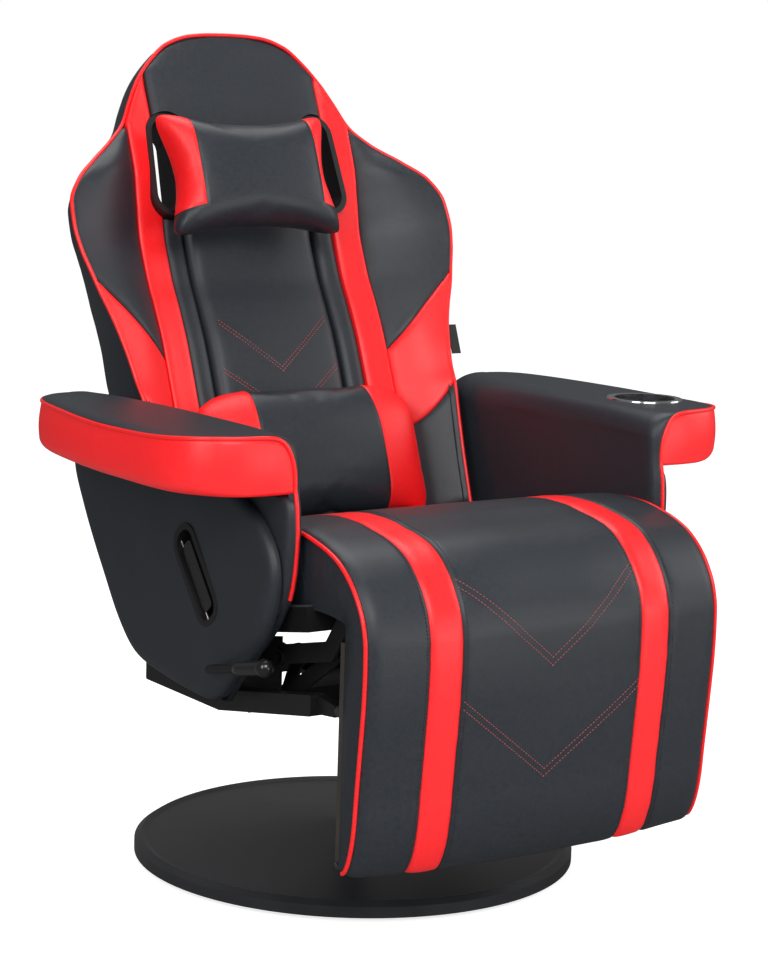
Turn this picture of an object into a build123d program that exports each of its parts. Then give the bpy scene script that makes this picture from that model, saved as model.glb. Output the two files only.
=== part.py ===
from build123d import *

import os
from math import atan2, cos, degrees, radians, sin, sqrt

# A swivel gaming recliner on a round base. Sizes are in millimetres. Z is up, the chair faces -Y, and the
# origin is where the swivel axis meets the floor. Left and right are the sitter's: left is +X.

# Fits
pin_clearance = 0.1
body_gap = 0.4
soft_gap = 0.4
overrun = 6.0

# Base: a steel ballast plate on glides, under a thin domed cover
base_radius = 290.0
base_plate_inset = 14.0
base_plate_thickness = 10.0
base_cover_wall = 3.0
base_cover_height = 46.0
base_rim_height = 26.0
base_rim_width = 18.0
base_rim_groove = 3.0
base_rim_drop = 6.0
cover_rib_inset = 44.0
cover_rib_width = 4.0
glide_radius = 12.0
glide_height = 6.0
glide_count = 6
glide_inset = 28.0
glide_first_angle = 30.0

# Swivel post and its bearing
post_radius = 20.0
post_wall = 4.0
chassis_depth = 273.0
post_flange_radius = 70.0
post_flange_thickness = 8.0
flange_bolt_circle_radius = 54.0
flange_bolt_radius = 4.0
flange_bolt_head_radius = 7.0
flange_bolt_head_height = 5.0
flange_bolt_count = 4
post_solid_length = 34.0
washer_thickness = 5.6
swivel_bolt_radius = 6.0
swivel_bolt_head_radius = 10.0
swivel_bolt_head_height = 7.0
swivel_bolt_depth = 30.0
hub_radius = 30.0
hub_length = 44.0
swivel_plate_width = 90.0
swivel_plate_corner = 22.0
swivel_plate_thickness = 6.0
cover_hole_gap = 1.5

# Lower chassis: two channel rails that rise towards the front, with cross tubes between them
rail_inset = 28.0
rail_width = 22.0
rail_height = 26.0
rail_wall = 3.0
rail_rear_inset = 20.0
rail_bend_y = -74.0
rail_front_y = -283.0
rail_front_rise = 39.0
cross_tube_width = 30.0
cross_tube_height = 22.0
cross_tube_wall = 2.5
cross_front_y = -88.0
cross_rear_inset = 35.0
edge_round = 3.0

# Seat: its top falls back from a crest near the front
seat_tilt = 10.8
seat_crest_y = -210.0
seat_crest_height = 501.0
seat_half_width = 257.0
seat_front_reach = 50.0
seat_depth = 342.0
seat_thickness = 100.0
seat_corner_radius = 26.0
seat_side_inset = 9.0
seat_side_share = 4.0
seat_frame_overhang = 5.0
seat_frame_height = 30.0
seat_frame_rail = 20.0
seat_frame_front = 50.0
seat_frame_rear_inset = 12.0
webbing_thickness = 2.0
webbing_width = 50.0
webbing_count = 5

# Side plates of the leg rest mechanism, with a horn that carries the leg rest's hinge
side_plate_thickness = 4.0
side_plate_front_y = -178.0
side_plate_relief = 8.0
side_plate_seat_front_y = -60.0
footrest_pivot_y = -345.0
footrest_pivot_drop = 63.0
horn_knee_y = -285.0
horn_knee_drop = 146.0
horn_width = 24.0
pivot_boss_radius = 14.0

# Leg rest linkage: a torque tube with a crank at each end, and a link on each side that stays parallel to
# the line between the two pivots, so crank and leg rest turn by the same angle
torque_pivot_y = -180.0
torque_pivot_drop = 174.0
torque_tube_radius = 10.0
torque_tube_wall = 2.0
torque_boss_radius = 18.0
crank_reach_y = 30.0
crank_reach_z = -65.0
crank_width = 22.0
crank_hub_radius = 15.0
link_width = 20.0
link_thickness = 4.0
link_gap = 4.0
link_pin_radius = 5.0
hinge_pin_radius = 6.0
pin_head_radius = 9.0
link_pin_head_radius = 7.0
pin_head_thickness = 2.5
pin_end_reach = 1.0
bracket_flange_width = 30.0
bracket_foot_length = 120.0
bracket_thickness = 4.0

# Leg pad and its board, as they hang at rest
pad_overhang = 2.0
pad_crown = 11.0
board_rear_y = -335.0
board_thickness = 12.0
board_top_inset = 20.0
board_bottom_inset = 13.0
board_side_inset = 9.0
pad_top_drop = 103.0
pad_bottom_z = 105.0
pad_front_y = -408.0
pad_toe_y = -370.0
pad_toe_radius = 14.0
pad_toe_height = 56.0
pad_shoulder_height = 42.0
pad_toe_bend = 42.0
pad_shoulder_bend = 56.0

# Cover over the knee, between the seat and the leg pad
knee_wall = 14.0
knee_front_slope_y = -396.0
knee_front_slope_drop = 55.0
knee_top_y = -318.0
knee_top_drop = 8.0
knee_skirt_drop = 117.0
knee_top_bend = 56.0
knee_slope_bend = 42.0
knee_inner_bend = 28.0

# Stops that the closed leg rest leans on
stop_bar_width = 12.0
stop_bar_root_height = 22.0
stop_bar_tip_height = 14.0
stop_bar_reach = 37.0
bumper_radius = 7.0

# Arms: a wing with a padded outer panel, and a pad that overhangs outwards
arm_seat_gap = 5.0
arm_core_thickness = 24.0
arm_panel_thickness = 16.0
arm_panel_bevel = 5.3
arm_front_y = -272.0
arm_rear_reach = 111.0
arm_bottom_drop = 235.0
armrest_bottom_rise = 40.0
armrest_thickness = 67.0
armrest_front_y = -266.0
armrest_width = 152.0
armrest_heel_y = 196.0
armrest_corner_radius = 92.0
armrest_rear_radius = 46.0
armrest_heel_radius = 23.0
armrest_waist_y = 65.0
armrest_straight_y = -33.0
armrest_edge_round = 9.0
armband_thickness = 5.0
armband_top_inset = 8.0
armband_start = 20.0

# Cup holder in the left armrest
cup_inset = 88.0
cup_centre_y = -140.0
cup_radius = 40.0
cup_depth = 58.0
cup_wall = 2.0
cup_rim_radius = 51.0
cup_rim_height = 3.0

# Release handle: a paddle hinged in a slanted recess of the right arm's panel
handle_centre_y = -92.0
handle_centre_drop = 83.0
handle_slant = 39.0
handle_length = 124.0
handle_width = 46.0
handle_recess_depth = 20.0
bezel_wall = 3.0
bezel_lip = 5.0
bezel_lip_height = 2.0
paddle_thickness = 5.0
paddle_length = 92.0
paddle_width = 22.0
paddle_corner = 6.0
paddle_end_gap = 12.0
paddle_pin_radius = 1.5
paddle_pin_length = 109.0

# Recline lever: a cranked rod with a grip, on the right
lever_pivot_y = -153.0
lever_pivot_drop = 186.0
lever_shaft_radius = 5.0
lever_reach = 16.0
lever_arm_length = 66.0
lever_grip_radius = 9.0
lever_grip_length = 58.0
lever_ball_radius = 11.0
lever_slope = 12.5

# Backrest: its own plane leans back from the seat
back_lean = 21.4
back_foot_overlap = 3.0
back_foot_drop = 71.0
back_height = 693.0
back_overhang = 44.0
back_bottom = -8.0
shell_front = -50.0
shell_depth_top = 16.0
shell_depth_bottom = 44.0
shell_inset_top = 25.0
shell_inset_bottom = 8.0
shell_rear_inset = 24.0
shell_middle_share = 0.25
strip_inner_share = 0.452
strip_outer_share = 0.588
strip_top_share = 0.915
strip_edge_gap = 8.3
head_seam_share = 0.772
head_crown = 20.0
head_rear_inset = 12.0
head_front_inset = 9.0
head_crown_inset = 30.0
head_low_radius = 6.0
head_side_radius = 18.0
head_shoulder_radius = 24.0
groove_share = 0.342
groove_depth = 20.0
groove_lip = 20.0
groove_back = 10.0
centre_crown = 6.0
wing_crown = 5.0

# Belt slots and their rims
slot_centre_share = 0.405
slot_below_seam = 35.0
slot_half_width = 22.0
slot_length = 130.0
slot_lean = 4.0
slot_rim_wall = 8.0
slot_rim_front = -1.0

# Back frame: square tube in channels of the shell
frame_tube_width = 20.0
frame_tube_depth = 13.0
frame_head_share = 0.16
frame_slot_gap = 15.0
frame_foot_v = 22.0
frame_bottom_v = -4.0

# Backrest hinge
back_pivot_reach = 13.0
back_pivot_drop = 108.0
back_bracket_thickness = 5.0
back_bracket_width = 34.0
back_bracket_top = 96.0
back_pin_radius = 7.0
seat_ear_thickness = 5.0
seat_ear_width = 28.0
seat_ear_reach = 33.0
ear_bracket_gap = 7.0
ear_boss_radius = 17.0

# Pillows and straps
head_pillow_width_share = 0.442
head_pillow_height = 178.0
head_pillow_below_seam = 77.0
head_pillow_depth = 76.0
head_pillow_seat = 1.4
lumbar_width_share = 0.485
lumbar_height = 164.0
lumbar_centre_v = 88.0
lumbar_depth = 78.0
lumbar_seat = 1.5

# Blank tag sewn into the left edge of the backrest
tag_length = 42.0
tag_reach = 18.0
tag_thickness = 1.6
tag_root_gap = 3.3
tag_height_share = 0.335
tag_level_share = 0.98

# Outlines as shares of the sizes that they follow
back_edge_shares = [
    (0.790, 0.000), (0.818, 0.176), (0.851, 0.346), (1.000, 0.581),
    (0.963, 0.670), (0.625, 0.781), (0.392, 0.970), (0.000, 1.000),
]
back_edge_radius_shares = [0.03, 0.30, 0.25, 0.10, 0.06, 0.06, 0.11, 0.40]
back_waist_share = 0.30
back_head_share = 0.90

# Height share along the backrest, half width share, lean of the piping forward in shares of the wing depth
wing_depth = 36.0
wing_station_shares = [
    (0.010, 0.795, 1.25), (0.120, 0.812, 1.25), (0.235, 0.826, 1.22), (0.325, 0.845, 1.02),
    (0.410, 0.888, 0.98), (0.495, 0.951, 0.93), (0.581, 0.987, 0.92), (0.630, 0.978, 0.86),
    (0.674, 0.925, 0.76), (0.717, 0.815, 0.43), (0.763, 0.688, -0.14), (0.797, 0.605, -0.25),
]

# Height share along the backrest and the depth of its middle valley in shares of the wing depth
valley_shares = [
    (-0.01, -0.14), (0.02, -0.14), (0.06, -0.14), (0.11, -0.14), (0.20, -0.14), (0.30, -0.16), (0.42, -0.34),
    (0.50, -0.56), (0.58, -0.62), (0.66, -0.38), (0.74, -0.14), (0.82, -0.14), (0.92, -0.22),
]

# Depth share through a pillow, its size share there and its corner radius in shares of its height
pillow_shares = [
    (0.0, 0.80, 0.16), (0.2, 0.93, 0.12), (0.45, 1.0, 0.09), (0.75, 0.90, 0.12), (1.0, 0.62, 0.15),
]

# The arm's outline from the armrest's underside round to the rear, in shares of the arm's depth and height
arm_core_shares = [
    (0.000, 1.000), (0.000, 0.800), (0.020, 0.545), (0.105, 0.350), (0.210, 0.140), (0.285, 0.000),
    (0.570, 0.020), (0.700, 0.130), (0.865, 0.500), (1.000, 1.000),
]
arm_panel_shares = [
    (0.180, 1.000), (0.055, 0.860), (0.012, 0.630), (0.030, 0.470), (0.140, 0.230), (0.262, 0.020),
    (0.420, 0.020), (0.570, 0.050), (0.700, 0.170), (0.855, 0.520), (0.975, 1.000),
]
arm_round_share = 0.12

# Places across the armrest, from its inner edge, in shares of its width
armrest_rear_share = 0.833
armrest_heel_share = 0.42
armrest_waist_share = 0.14

# Height share through the seat cushion and how far its outline is drawn in, in shares of the side inset
seat_section_shares = [(-1.00, 1), (-0.75, 0), (-0.30, 0), (-0.06, 1), (0, seat_side_share)]

# Width share across the leg pad and how far it stands out, in shares of the crown
pad_station_shares = [
    (-1, -1), (-0.95, -0.35), (-0.50, 0.75), (0, 1), (0.50, 0.75), (0.95, -0.35), (1, -1),
]


# Heights that follow the seat's crest
post_top_height = seat_crest_height - chassis_depth
footrest_pivot_z = seat_crest_height - footrest_pivot_drop
horn_knee_z = seat_crest_height - horn_knee_drop
torque_pivot_z = seat_crest_height - torque_pivot_drop
pad_top_z = seat_crest_height - pad_top_drop
board_top_z = pad_top_z - board_top_inset
board_bottom_z = pad_bottom_z + board_bottom_inset
knee_front_slope_z = seat_crest_height - knee_front_slope_drop
knee_top_z = seat_crest_height - knee_top_drop
knee_skirt_z = seat_crest_height - knee_skirt_drop
arm_bottom_z = seat_crest_height - arm_bottom_drop
armrest_bottom_z = seat_crest_height + armrest_bottom_rise
armrest_top_z = armrest_bottom_z + armrest_thickness
armband_top_z = armrest_top_z - armband_top_inset
handle_centre_z = seat_crest_height - handle_centre_drop
lever_pivot_z = seat_crest_height - lever_pivot_drop
back_foot_z = seat_crest_height - back_foot_drop
back_pivot_z = seat_crest_height - back_pivot_drop

# Depths that follow the seat's
seat_rear_y = seat_crest_y + seat_depth
seat_frame_rear = seat_depth - seat_frame_rear_inset
rail_rear_y = seat_rear_y - rail_rear_inset
cross_rear_y = seat_rear_y - cross_rear_inset
arm_rear_y = seat_rear_y + arm_rear_reach
back_foot_y = seat_rear_y - back_foot_overlap
back_pivot_y = seat_rear_y + back_pivot_reach

# Widths that follow the seat's
seat_frame_half_width = seat_half_width + seat_frame_overhang
rail_inner_x = seat_frame_half_width - rail_inset
pad_half_width = seat_half_width + pad_overhang
board_half_width = pad_half_width - board_side_inset
arm_inner_x = seat_half_width + arm_seat_gap
arm_panel_x = arm_inner_x + arm_core_thickness
arm_outer_x = arm_panel_x + arm_panel_thickness
armrest_outer_x = arm_inner_x + armrest_width
cup_centre_x = arm_inner_x + cup_inset
lever_arm_x = arm_outer_x + lever_reach

# Backrest places that follow its width and height
back_half_width = seat_half_width + back_overhang
strip_inner_x = back_half_width * strip_inner_share
strip_outer_x = back_half_width * strip_outer_share
groove_x = back_half_width * groove_share
head_seam = back_height * head_seam_share
strip_top = back_height * strip_top_share
slot_centre_x = back_half_width * slot_centre_share
slot_centre_v = head_seam - slot_below_seam
head_pillow_half_width = back_half_width * head_pillow_width_share
head_pillow_centre_v = head_seam - head_pillow_below_seam
lumbar_half_width = back_half_width * lumbar_width_share
tag_centre_v = back_height * tag_height_share

# The back frame stands between the hinge brackets, which run just inside the seat frame's ears
seat_ear_x = seat_frame_half_width - seat_frame_rail - seat_ear_thickness
back_bracket_x = seat_ear_x - ear_bracket_gap - back_bracket_thickness
frame_side_x = back_bracket_x - frame_tube_width
frame_head_x = back_half_width * frame_head_share
frame_cross_v = slot_centre_v - slot_length / 2 - slot_rim_wall - frame_slot_gap - frame_tube_width
frame_top_v = strip_top


def polygon(points, radii):
    """A face inside a closed outline whose corners are rounded."""
    return make_face(FilletPolyline(*points, radius=radii, close=True))


def side_solid(face, x_from, x_to):
    """Stand a (y, z) outline up in the side view and give it its width along x."""
    return extrude(Plane.YZ.offset(x_from) * face, x_to - x_from)


def disc_at(y, z, radius):
    """A round (y, z) outline."""
    return Pos(y, z) * Circle(radius)


def bar_between(start, end, width):
    """The (y, z) outline of a bar with round ends, between two pin centres."""
    dy = end[0] - start[0]
    dz = end[1] - start[1]
    middle = Pos((start[0] + end[0]) / 2, (start[1] + end[1]) / 2)
    return middle * Rot(0, 0, degrees(atan2(dz, dy))) * SlotCenterToCenter(sqrt(dy * dy + dz * dz), width)


def x_pin(y, z, x_from, x_to, radius):
    """A round pin or bore along x."""
    return side_solid(disc_at(y, z, radius), x_from, x_to)


def mirrored(solid):
    """The same piece on the other side of the chair."""
    return mirror(solid, about=Plane.YZ)


def upright_disc(radius, height, bottom):
    """A round slug on the swivel axis."""
    return Pos(0, 0, bottom) * Cylinder(radius, height, align=(Align.CENTER, Align.CENTER, Align.MIN))


def ring_of(shape, count, radius, first_angle):
    """Copies of a piece round the swivel axis."""
    turns = [first_angle + 360 * number / count for number in range(count)]
    return [Rot(0, 0, turn) * Pos(radius, 0, 0) * shape for turn in turns]


def joined(shapes):
    """Several separate solids as one node."""
    return Compound(children=[solid for shape in shapes for solid in shape.solids()])


# The seat's own plane: x across, y backward along the seat, z up out of it
seat_plane = Plane(
    origin=(0, seat_crest_y, seat_crest_height), x_dir=(1, 0, 0),
    z_dir=(0, sin(radians(seat_tilt)), cos(radians(seat_tilt))),
)

# The backrest's own plane: x across, y up along it, z forward out of it
back_plane = Plane(
    origin=(0, back_foot_y, back_foot_z), x_dir=(1, 0, 0),
    z_dir=(0, -cos(radians(back_lean)), sin(radians(back_lean))),
)


def seat_box(x_from, x_to, back_from, back_to, low, high):
    """A block set in the seat's plane."""
    block = Box(x_to - x_from, back_to - back_from, high - low, align=(Align.MIN, Align.MIN, Align.MIN))
    return seat_plane * Pos(x_from, back_from, low) * block


def back_box(x_from, x_to, up_from, up_to, low, high):
    """A block set in the backrest's plane."""
    block = Box(x_to - x_from, up_to - up_from, high - low, align=(Align.MIN, Align.MIN, Align.MIN))
    return back_plane * Pos(x_from, up_from, low) * block


def seat_point(back, height):
    """A point of the seat's plane in the side view."""
    tilt = radians(seat_tilt)
    y = seat_crest_y + back * cos(tilt) + height * sin(tilt)
    z = seat_crest_height - back * sin(tilt) + height * cos(tilt)
    return (y, z)


def share_between(table, place):
    """Read a value off a table of shares, in straight lines between its rows."""
    for low, high in zip(table, table[1:]):
        if place <= high[0]:
            break
    part = (place - low[0]) / (high[0] - low[0])
    return low[1] + (high[1] - low[1]) * part


def valley_level(up):
    """How far forward the middle of the backrest stands at a height along it."""
    return wing_depth * share_between(valley_shares, up / back_height)


# Base

plate_bottom_z = glide_height
plate_top_z = plate_bottom_z + base_plate_thickness
flange_top_z = plate_top_z + post_flange_thickness


def base_cover_part():
    """The cover: a shallow cone with a rounded rim, open below, on a ring rib."""
    hole = post_radius + cover_hole_gap
    rim_inner = base_radius - base_rim_width
    outer = [
        (hole, base_cover_height),
        (rim_inner, base_rim_height - base_rim_groove),
        (base_radius - base_rim_width / 2, base_rim_height),
        (base_radius, base_rim_height - base_rim_drop),
        (base_radius, glide_height),
    ]
    inner = [
        (base_radius - base_cover_wall, glide_height),
        (base_radius - base_cover_wall, base_rim_height - base_rim_width / 2),
        (rim_inner, base_rim_height - base_rim_groove - base_cover_wall),
        (hole, base_cover_height - base_cover_wall),
    ]
    profile = make_face(Polyline(*outer, *inner, close=True))
    rib_height = base_rim_height - base_rim_groove - plate_top_z
    rib_place = Pos(base_radius - cover_rib_inset, plate_top_z + rib_height / 2)
    rib = rib_place * Rectangle(cover_rib_width, rib_height)
    return revolve(Plane.XZ * (profile + rib), Axis.Z)


def base_plate_part():
    """The ballast plate, with through holes for the flange bolts."""
    plate = upright_disc(base_radius - base_plate_inset, base_plate_thickness, plate_bottom_z)
    hole = upright_disc(flange_bolt_radius, plate_top_z + overrun, 0)
    for copy in ring_of(hole, flange_bolt_count, flange_bolt_circle_radius, 0):
        plate -= copy
    return plate


def floor_glides_part():
    """Round feet under the plate: one on the axis, under the post, and a ring of them near the rim."""
    foot = upright_disc(glide_radius, glide_height, 0)
    return joined([foot] + ring_of(foot, glide_count, base_radius - glide_inset, glide_first_angle))


def swivel_post_part():
    """The post tube on its welded flange, solid at the top round the threaded hole."""
    tube_height = post_top_height - plate_top_z
    post = upright_disc(post_flange_radius, post_flange_thickness, plate_top_z)
    post += upright_disc(post_radius, tube_height, plate_top_z)
    hollow_height = tube_height - post_flange_thickness - post_solid_length
    post -= upright_disc(post_radius - post_wall, hollow_height, flange_top_z)
    post -= upright_disc(swivel_bolt_radius + pin_clearance, tube_height, post_top_height - swivel_bolt_depth)
    hole = upright_disc(flange_bolt_radius, flange_top_z, plate_bottom_z)
    for copy in ring_of(hole, flange_bolt_count, flange_bolt_circle_radius, 0):
        post -= copy
    return post


def flange_bolts_part():
    """Bolts that hold the flange to the plate."""
    shank = upright_disc(flange_bolt_radius - pin_clearance, flange_top_z - plate_bottom_z, plate_bottom_z)
    head = upright_disc(flange_bolt_head_radius, flange_bolt_head_height, flange_top_z)
    return joined(ring_of(shank + head, flange_bolt_count, flange_bolt_circle_radius, 0))


def thrust_washer_part():
    """The plastic washer that the chair turns on."""
    washer = upright_disc(post_radius, washer_thickness, post_top_height)
    return washer - upright_disc(swivel_bolt_radius + pin_clearance, washer_thickness, post_top_height)


swivel_plate_bottom_z = post_top_height + washer_thickness + body_gap
swivel_plate_top_z = swivel_plate_bottom_z + swivel_plate_thickness


def swivel_bolt_part():
    """The bolt on the axis that keeps the chair on its post."""
    shank_bottom = post_top_height - swivel_bolt_depth
    shank = upright_disc(swivel_bolt_radius, swivel_plate_top_z + body_gap - shank_bottom, shank_bottom)
    head_z = swivel_plate_top_z + body_gap
    return shank + upright_disc(swivel_bolt_head_radius, swivel_bolt_head_height, head_z)


# Lower chassis

rail_bottom_z = swivel_plate_top_z
rail_top_z = rail_bottom_z + rail_height


def swivel_hub_part():
    """The hub round the post, welded under a narrow plate that carries the cross tubes."""
    hub = upright_disc(hub_radius, hub_length, swivel_plate_bottom_z - hub_length)
    hub -= upright_disc(post_radius + pin_clearance, hub_length, swivel_plate_bottom_z - hub_length)
    front_y = cross_front_y - cross_tube_width / 2
    rear_y = cross_rear_y + cross_tube_width / 2
    plate = Pos(0, (front_y + rear_y) / 2, swivel_plate_bottom_z) * extrude(
        RectangleRounded(swivel_plate_width, rear_y - front_y, swivel_plate_corner), swivel_plate_thickness
    )
    bore_length = swivel_plate_thickness + overrun
    bore = upright_disc(swivel_bolt_radius + body_gap, bore_length, swivel_plate_bottom_z)
    return hub + plate - bore


def cross_tube_part(y):
    """A rectangular tube across the chassis."""
    half = rail_inner_x - side_plate_thickness
    middle_z = rail_bottom_z + cross_tube_height / 2
    outer = Pos(y, middle_z) * Rectangle(cross_tube_width, cross_tube_height)
    inner = Pos(y, middle_z) * Rectangle(
        cross_tube_width - 2 * cross_tube_wall, cross_tube_height - 2 * cross_tube_wall
    )
    return side_solid(outer - inner, -half, half)


def rail_part():
    """A side rail: a channel, level at the rear and rising to the front, open to the middle of the chair."""
    points = [
        (rail_rear_y, rail_bottom_z), (rail_bend_y, rail_bottom_z),
        (rail_front_y, rail_bottom_z + rail_front_rise), (rail_front_y, rail_top_z + rail_front_rise),
        (rail_bend_y, rail_top_z), (rail_rear_y, rail_top_z),
    ]
    face = polygon(points, edge_round)
    pocket = offset(face, -rail_wall, kind=Kind.INTERSECTION)
    rail = side_solid(face, rail_inner_x, rail_inner_x + rail_width)
    return rail - side_solid(pocket, rail_inner_x, rail_inner_x + rail_width - rail_wall)


side_plate_x = rail_inner_x - side_plate_thickness
footrest_pivot = (footrest_pivot_y, footrest_pivot_z)
torque_pivot = (torque_pivot_y, torque_pivot_z)
lever_pivot = (lever_pivot_y, lever_pivot_z)
frame_underside = -seat_thickness - soft_gap - webbing_thickness - seat_frame_height


def seat_underside(y):
    """Height of the seat frame's lower edge above a place in the side view."""
    tilt = radians(seat_tilt)
    back = (y - seat_crest_y - frame_underside * sin(tilt)) / cos(tilt)
    return seat_point(back, frame_underside)[1]


def side_plate_part():
    """A mechanism side plate: it stands on the rail and carries the seat frame and the footrest's hinge."""
    low = rail_bottom_z + edge_round
    rise = rail_front_rise * (rail_bend_y - side_plate_front_y) / (rail_bend_y - rail_front_y)
    drop_y = side_plate_seat_front_y - side_plate_relief
    points = [
        (rail_rear_y, low), (rail_bend_y, low), (side_plate_front_y, low + rise),
        (side_plate_front_y, seat_underside(side_plate_front_y) - side_plate_relief),
        (drop_y, seat_underside(drop_y) - side_plate_relief),
        (side_plate_seat_front_y, seat_underside(side_plate_seat_front_y)),
        (rail_rear_y, seat_underside(rail_rear_y)),
    ]
    knee = (horn_knee_y, horn_knee_z)
    face = make_face(Polyline(*points, close=True))
    face += disc_at(*torque_pivot, torque_boss_radius)
    face += bar_between((side_plate_front_y, torque_pivot_z + edge_round), knee, horn_width)
    face += bar_between(knee, footrest_pivot, horn_width)
    face += disc_at(*footrest_pivot, pivot_boss_radius)
    face -= disc_at(*footrest_pivot, hinge_pin_radius + pin_clearance)
    face -= disc_at(*torque_pivot, torque_tube_radius + pin_clearance)
    return side_solid(face, side_plate_x, rail_inner_x)


def seat_rails():
    """The four rails of the seat frame, in the seat's plane."""
    low = frame_underside
    high = frame_underside + seat_frame_height
    inner = seat_frame_half_width - seat_frame_rail
    side = seat_box(inner, seat_frame_half_width, -seat_frame_front, seat_frame_rear, low, high)
    front = seat_box(-inner, inner, -seat_frame_front, seat_frame_rail - seat_frame_front, low, high)
    rear = seat_box(-seat_ear_x, seat_ear_x, seat_frame_rear - seat_frame_rail, seat_frame_rear, low, high)
    return side, front, rear


def seat_webbing_part():
    """Elastic bands across the seat frame that carry the cushion."""
    low = frame_underside + seat_frame_height
    pitch = (seat_frame_rear + seat_frame_front - webbing_width) / (webbing_count - 1)
    bands = []
    for number in range(webbing_count):
        start = pitch * number - seat_frame_front
        bands.append(seat_box(
            -seat_frame_half_width, seat_frame_half_width, start, start + webbing_width,
            low, low + webbing_thickness,
        ))
    return joined(bands)


def seat_cushion_part():
    """The seat cushion: crowned on top, its sides drawn in at the top and bottom seams."""
    depth = seat_depth + seat_front_reach
    sections = []
    for level_share, inset_share in seat_section_shares:
        inset = inset_share * seat_side_inset
        face = Pos(0, (seat_depth - seat_front_reach) / 2, level_share * seat_thickness) * RectangleRounded(
            2 * (seat_half_width - inset), depth - 2 * inset, seat_corner_radius
        )
        sections.append(seat_plane * face)
    return loft(sections)


# Knee cover and leg pad

def knee_outer_points():
    """The knee's outer line, from the seat's front down to the leg pad."""
    start = seat_point(-seat_frame_front - soft_gap, -seat_side_inset)
    return [start, (knee_top_y, knee_top_z), (knee_front_slope_y, knee_front_slope_z),
            (pad_front_y, pad_top_z + soft_gap)]


def knee_cover_part():
    """The stretch of cover that bends when the leg rest rises, with a skirt on each side."""
    start, top, slope, end = knee_outer_points()
    skirt_front = (board_rear_y - board_thickness, knee_skirt_z + side_plate_relief)
    skirt_rear = seat_point(-seat_frame_front - soft_gap, -seat_thickness - knee_wall)
    outline = [start, top, slope, end, (skirt_front[0], end[1]), skirt_front, skirt_rear]
    radii = [0, knee_top_bend, knee_slope_bend, 0, 0, 0, 0]
    solid = side_solid(polygon(outline, radii), -pad_half_width, pad_half_width)
    inner_top = (top[0] + knee_wall / 2, top[1] - knee_wall)
    inner_slope = (slope[0] + knee_wall, slope[1] - knee_wall / 2)
    hollow = [
        (start[0] + overrun, start[1] - knee_wall), inner_top, inner_slope,
        (end[0] + knee_wall, end[1] - overrun), (start[0] + overrun, knee_skirt_z - knee_wall),
    ]
    room = side_solid(
        polygon(hollow, [0, knee_slope_bend, knee_inner_bend, 0, 0]),
        knee_wall - pad_half_width, pad_half_width - knee_wall,
    )
    return solid - room


def leg_pad_part():
    """The leg pad: crowned across its width, drawn in at its side seams, rolled under at its lower edge."""
    rear_y = board_rear_y - board_thickness
    sections = []
    for x_share, crown_share in pad_station_shares:
        crown = pad_crown * crown_share
        points = [
            (rear_y, pad_top_z), (rear_y, pad_bottom_z + pad_toe_radius / 2),
            (pad_toe_y, pad_bottom_z), (pad_front_y + pad_toe_radius - crown, pad_bottom_z + pad_toe_height),
            (pad_front_y - crown, pad_top_z - pad_shoulder_height), (pad_front_y - crown / 2, pad_top_z),
        ]
        radii = [0, 0, pad_toe_radius / 2, pad_toe_bend, pad_shoulder_bend, 0]
        sections.append(Plane.YZ.offset(x_share * pad_half_width) * polygon(points, radii))
    return loft(sections)


def leg_board_part():
    """The plywood board behind the leg pad."""
    middle_y = board_rear_y - board_thickness / 2
    middle_z = (board_top_z + board_bottom_z) / 2
    face = Pos(middle_y, middle_z) * Rectangle(board_thickness, board_top_z - board_bottom_z)
    return side_solid(face, -board_half_width, board_half_width)


# Layers of the linkage along x, from the side plate inwards
bracket_x = side_plate_x - link_gap - bracket_thickness
link_x = bracket_x - link_gap - link_thickness
crank_x = link_x - link_gap - link_thickness
crank_tip = (torque_pivot_y + crank_reach_y, torque_pivot_z + crank_reach_z)
bracket_tip = (footrest_pivot_y + crank_reach_y, footrest_pivot_z + crank_reach_z)


def footrest_bracket_part():
    """A hinge bracket: an upright plate with both pin bores, and a foot flange on the board."""
    foot_top = bracket_tip[1] - link_width / 2
    foot = (board_rear_y + link_width / 2, foot_top - bracket_foot_length)
    plate = bar_between(footrest_pivot, bracket_tip, 2 * pivot_boss_radius)
    plate += bar_between(bracket_tip, foot, link_width)
    plate -= disc_at(*footrest_pivot, hinge_pin_radius + pin_clearance)
    plate -= disc_at(*bracket_tip, link_pin_radius + pin_clearance)
    above_place = Pos(board_rear_y - board_thickness, board_top_z / 2)
    above_board = above_place * Rectangle(2 * board_thickness, board_top_z)
    bracket = side_solid(plate - above_board, bracket_x, bracket_x + bracket_thickness)
    flange_face = Pos(board_rear_y + bracket_thickness / 2, foot[1] + bracket_foot_length / 2) * Rectangle(
        bracket_thickness, bracket_foot_length
    )
    return bracket + side_solid(flange_face, bracket_x - bracket_flange_width, bracket_x)


def hinge_pin_part():
    """The pin of the leg rest's hinge, fixed in the bracket and turning in the side plate."""
    reach = rail_inner_x + pin_end_reach
    pin = x_pin(*footrest_pivot, bracket_x - pin_end_reach, reach, hinge_pin_radius)
    head_x = bracket_x - pin_end_reach
    return pin + x_pin(*footrest_pivot, head_x - pin_head_thickness, head_x, pin_head_radius)


def link_pin_part(place, from_x, to_x):
    """A pin through two neighbouring plates of the linkage, with a head on its inner end."""
    head_x = from_x - pin_end_reach
    pin = x_pin(*place, head_x, to_x + pin_end_reach, link_pin_radius)
    return pin + x_pin(*place, head_x - pin_head_thickness, head_x, link_pin_head_radius)


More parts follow.
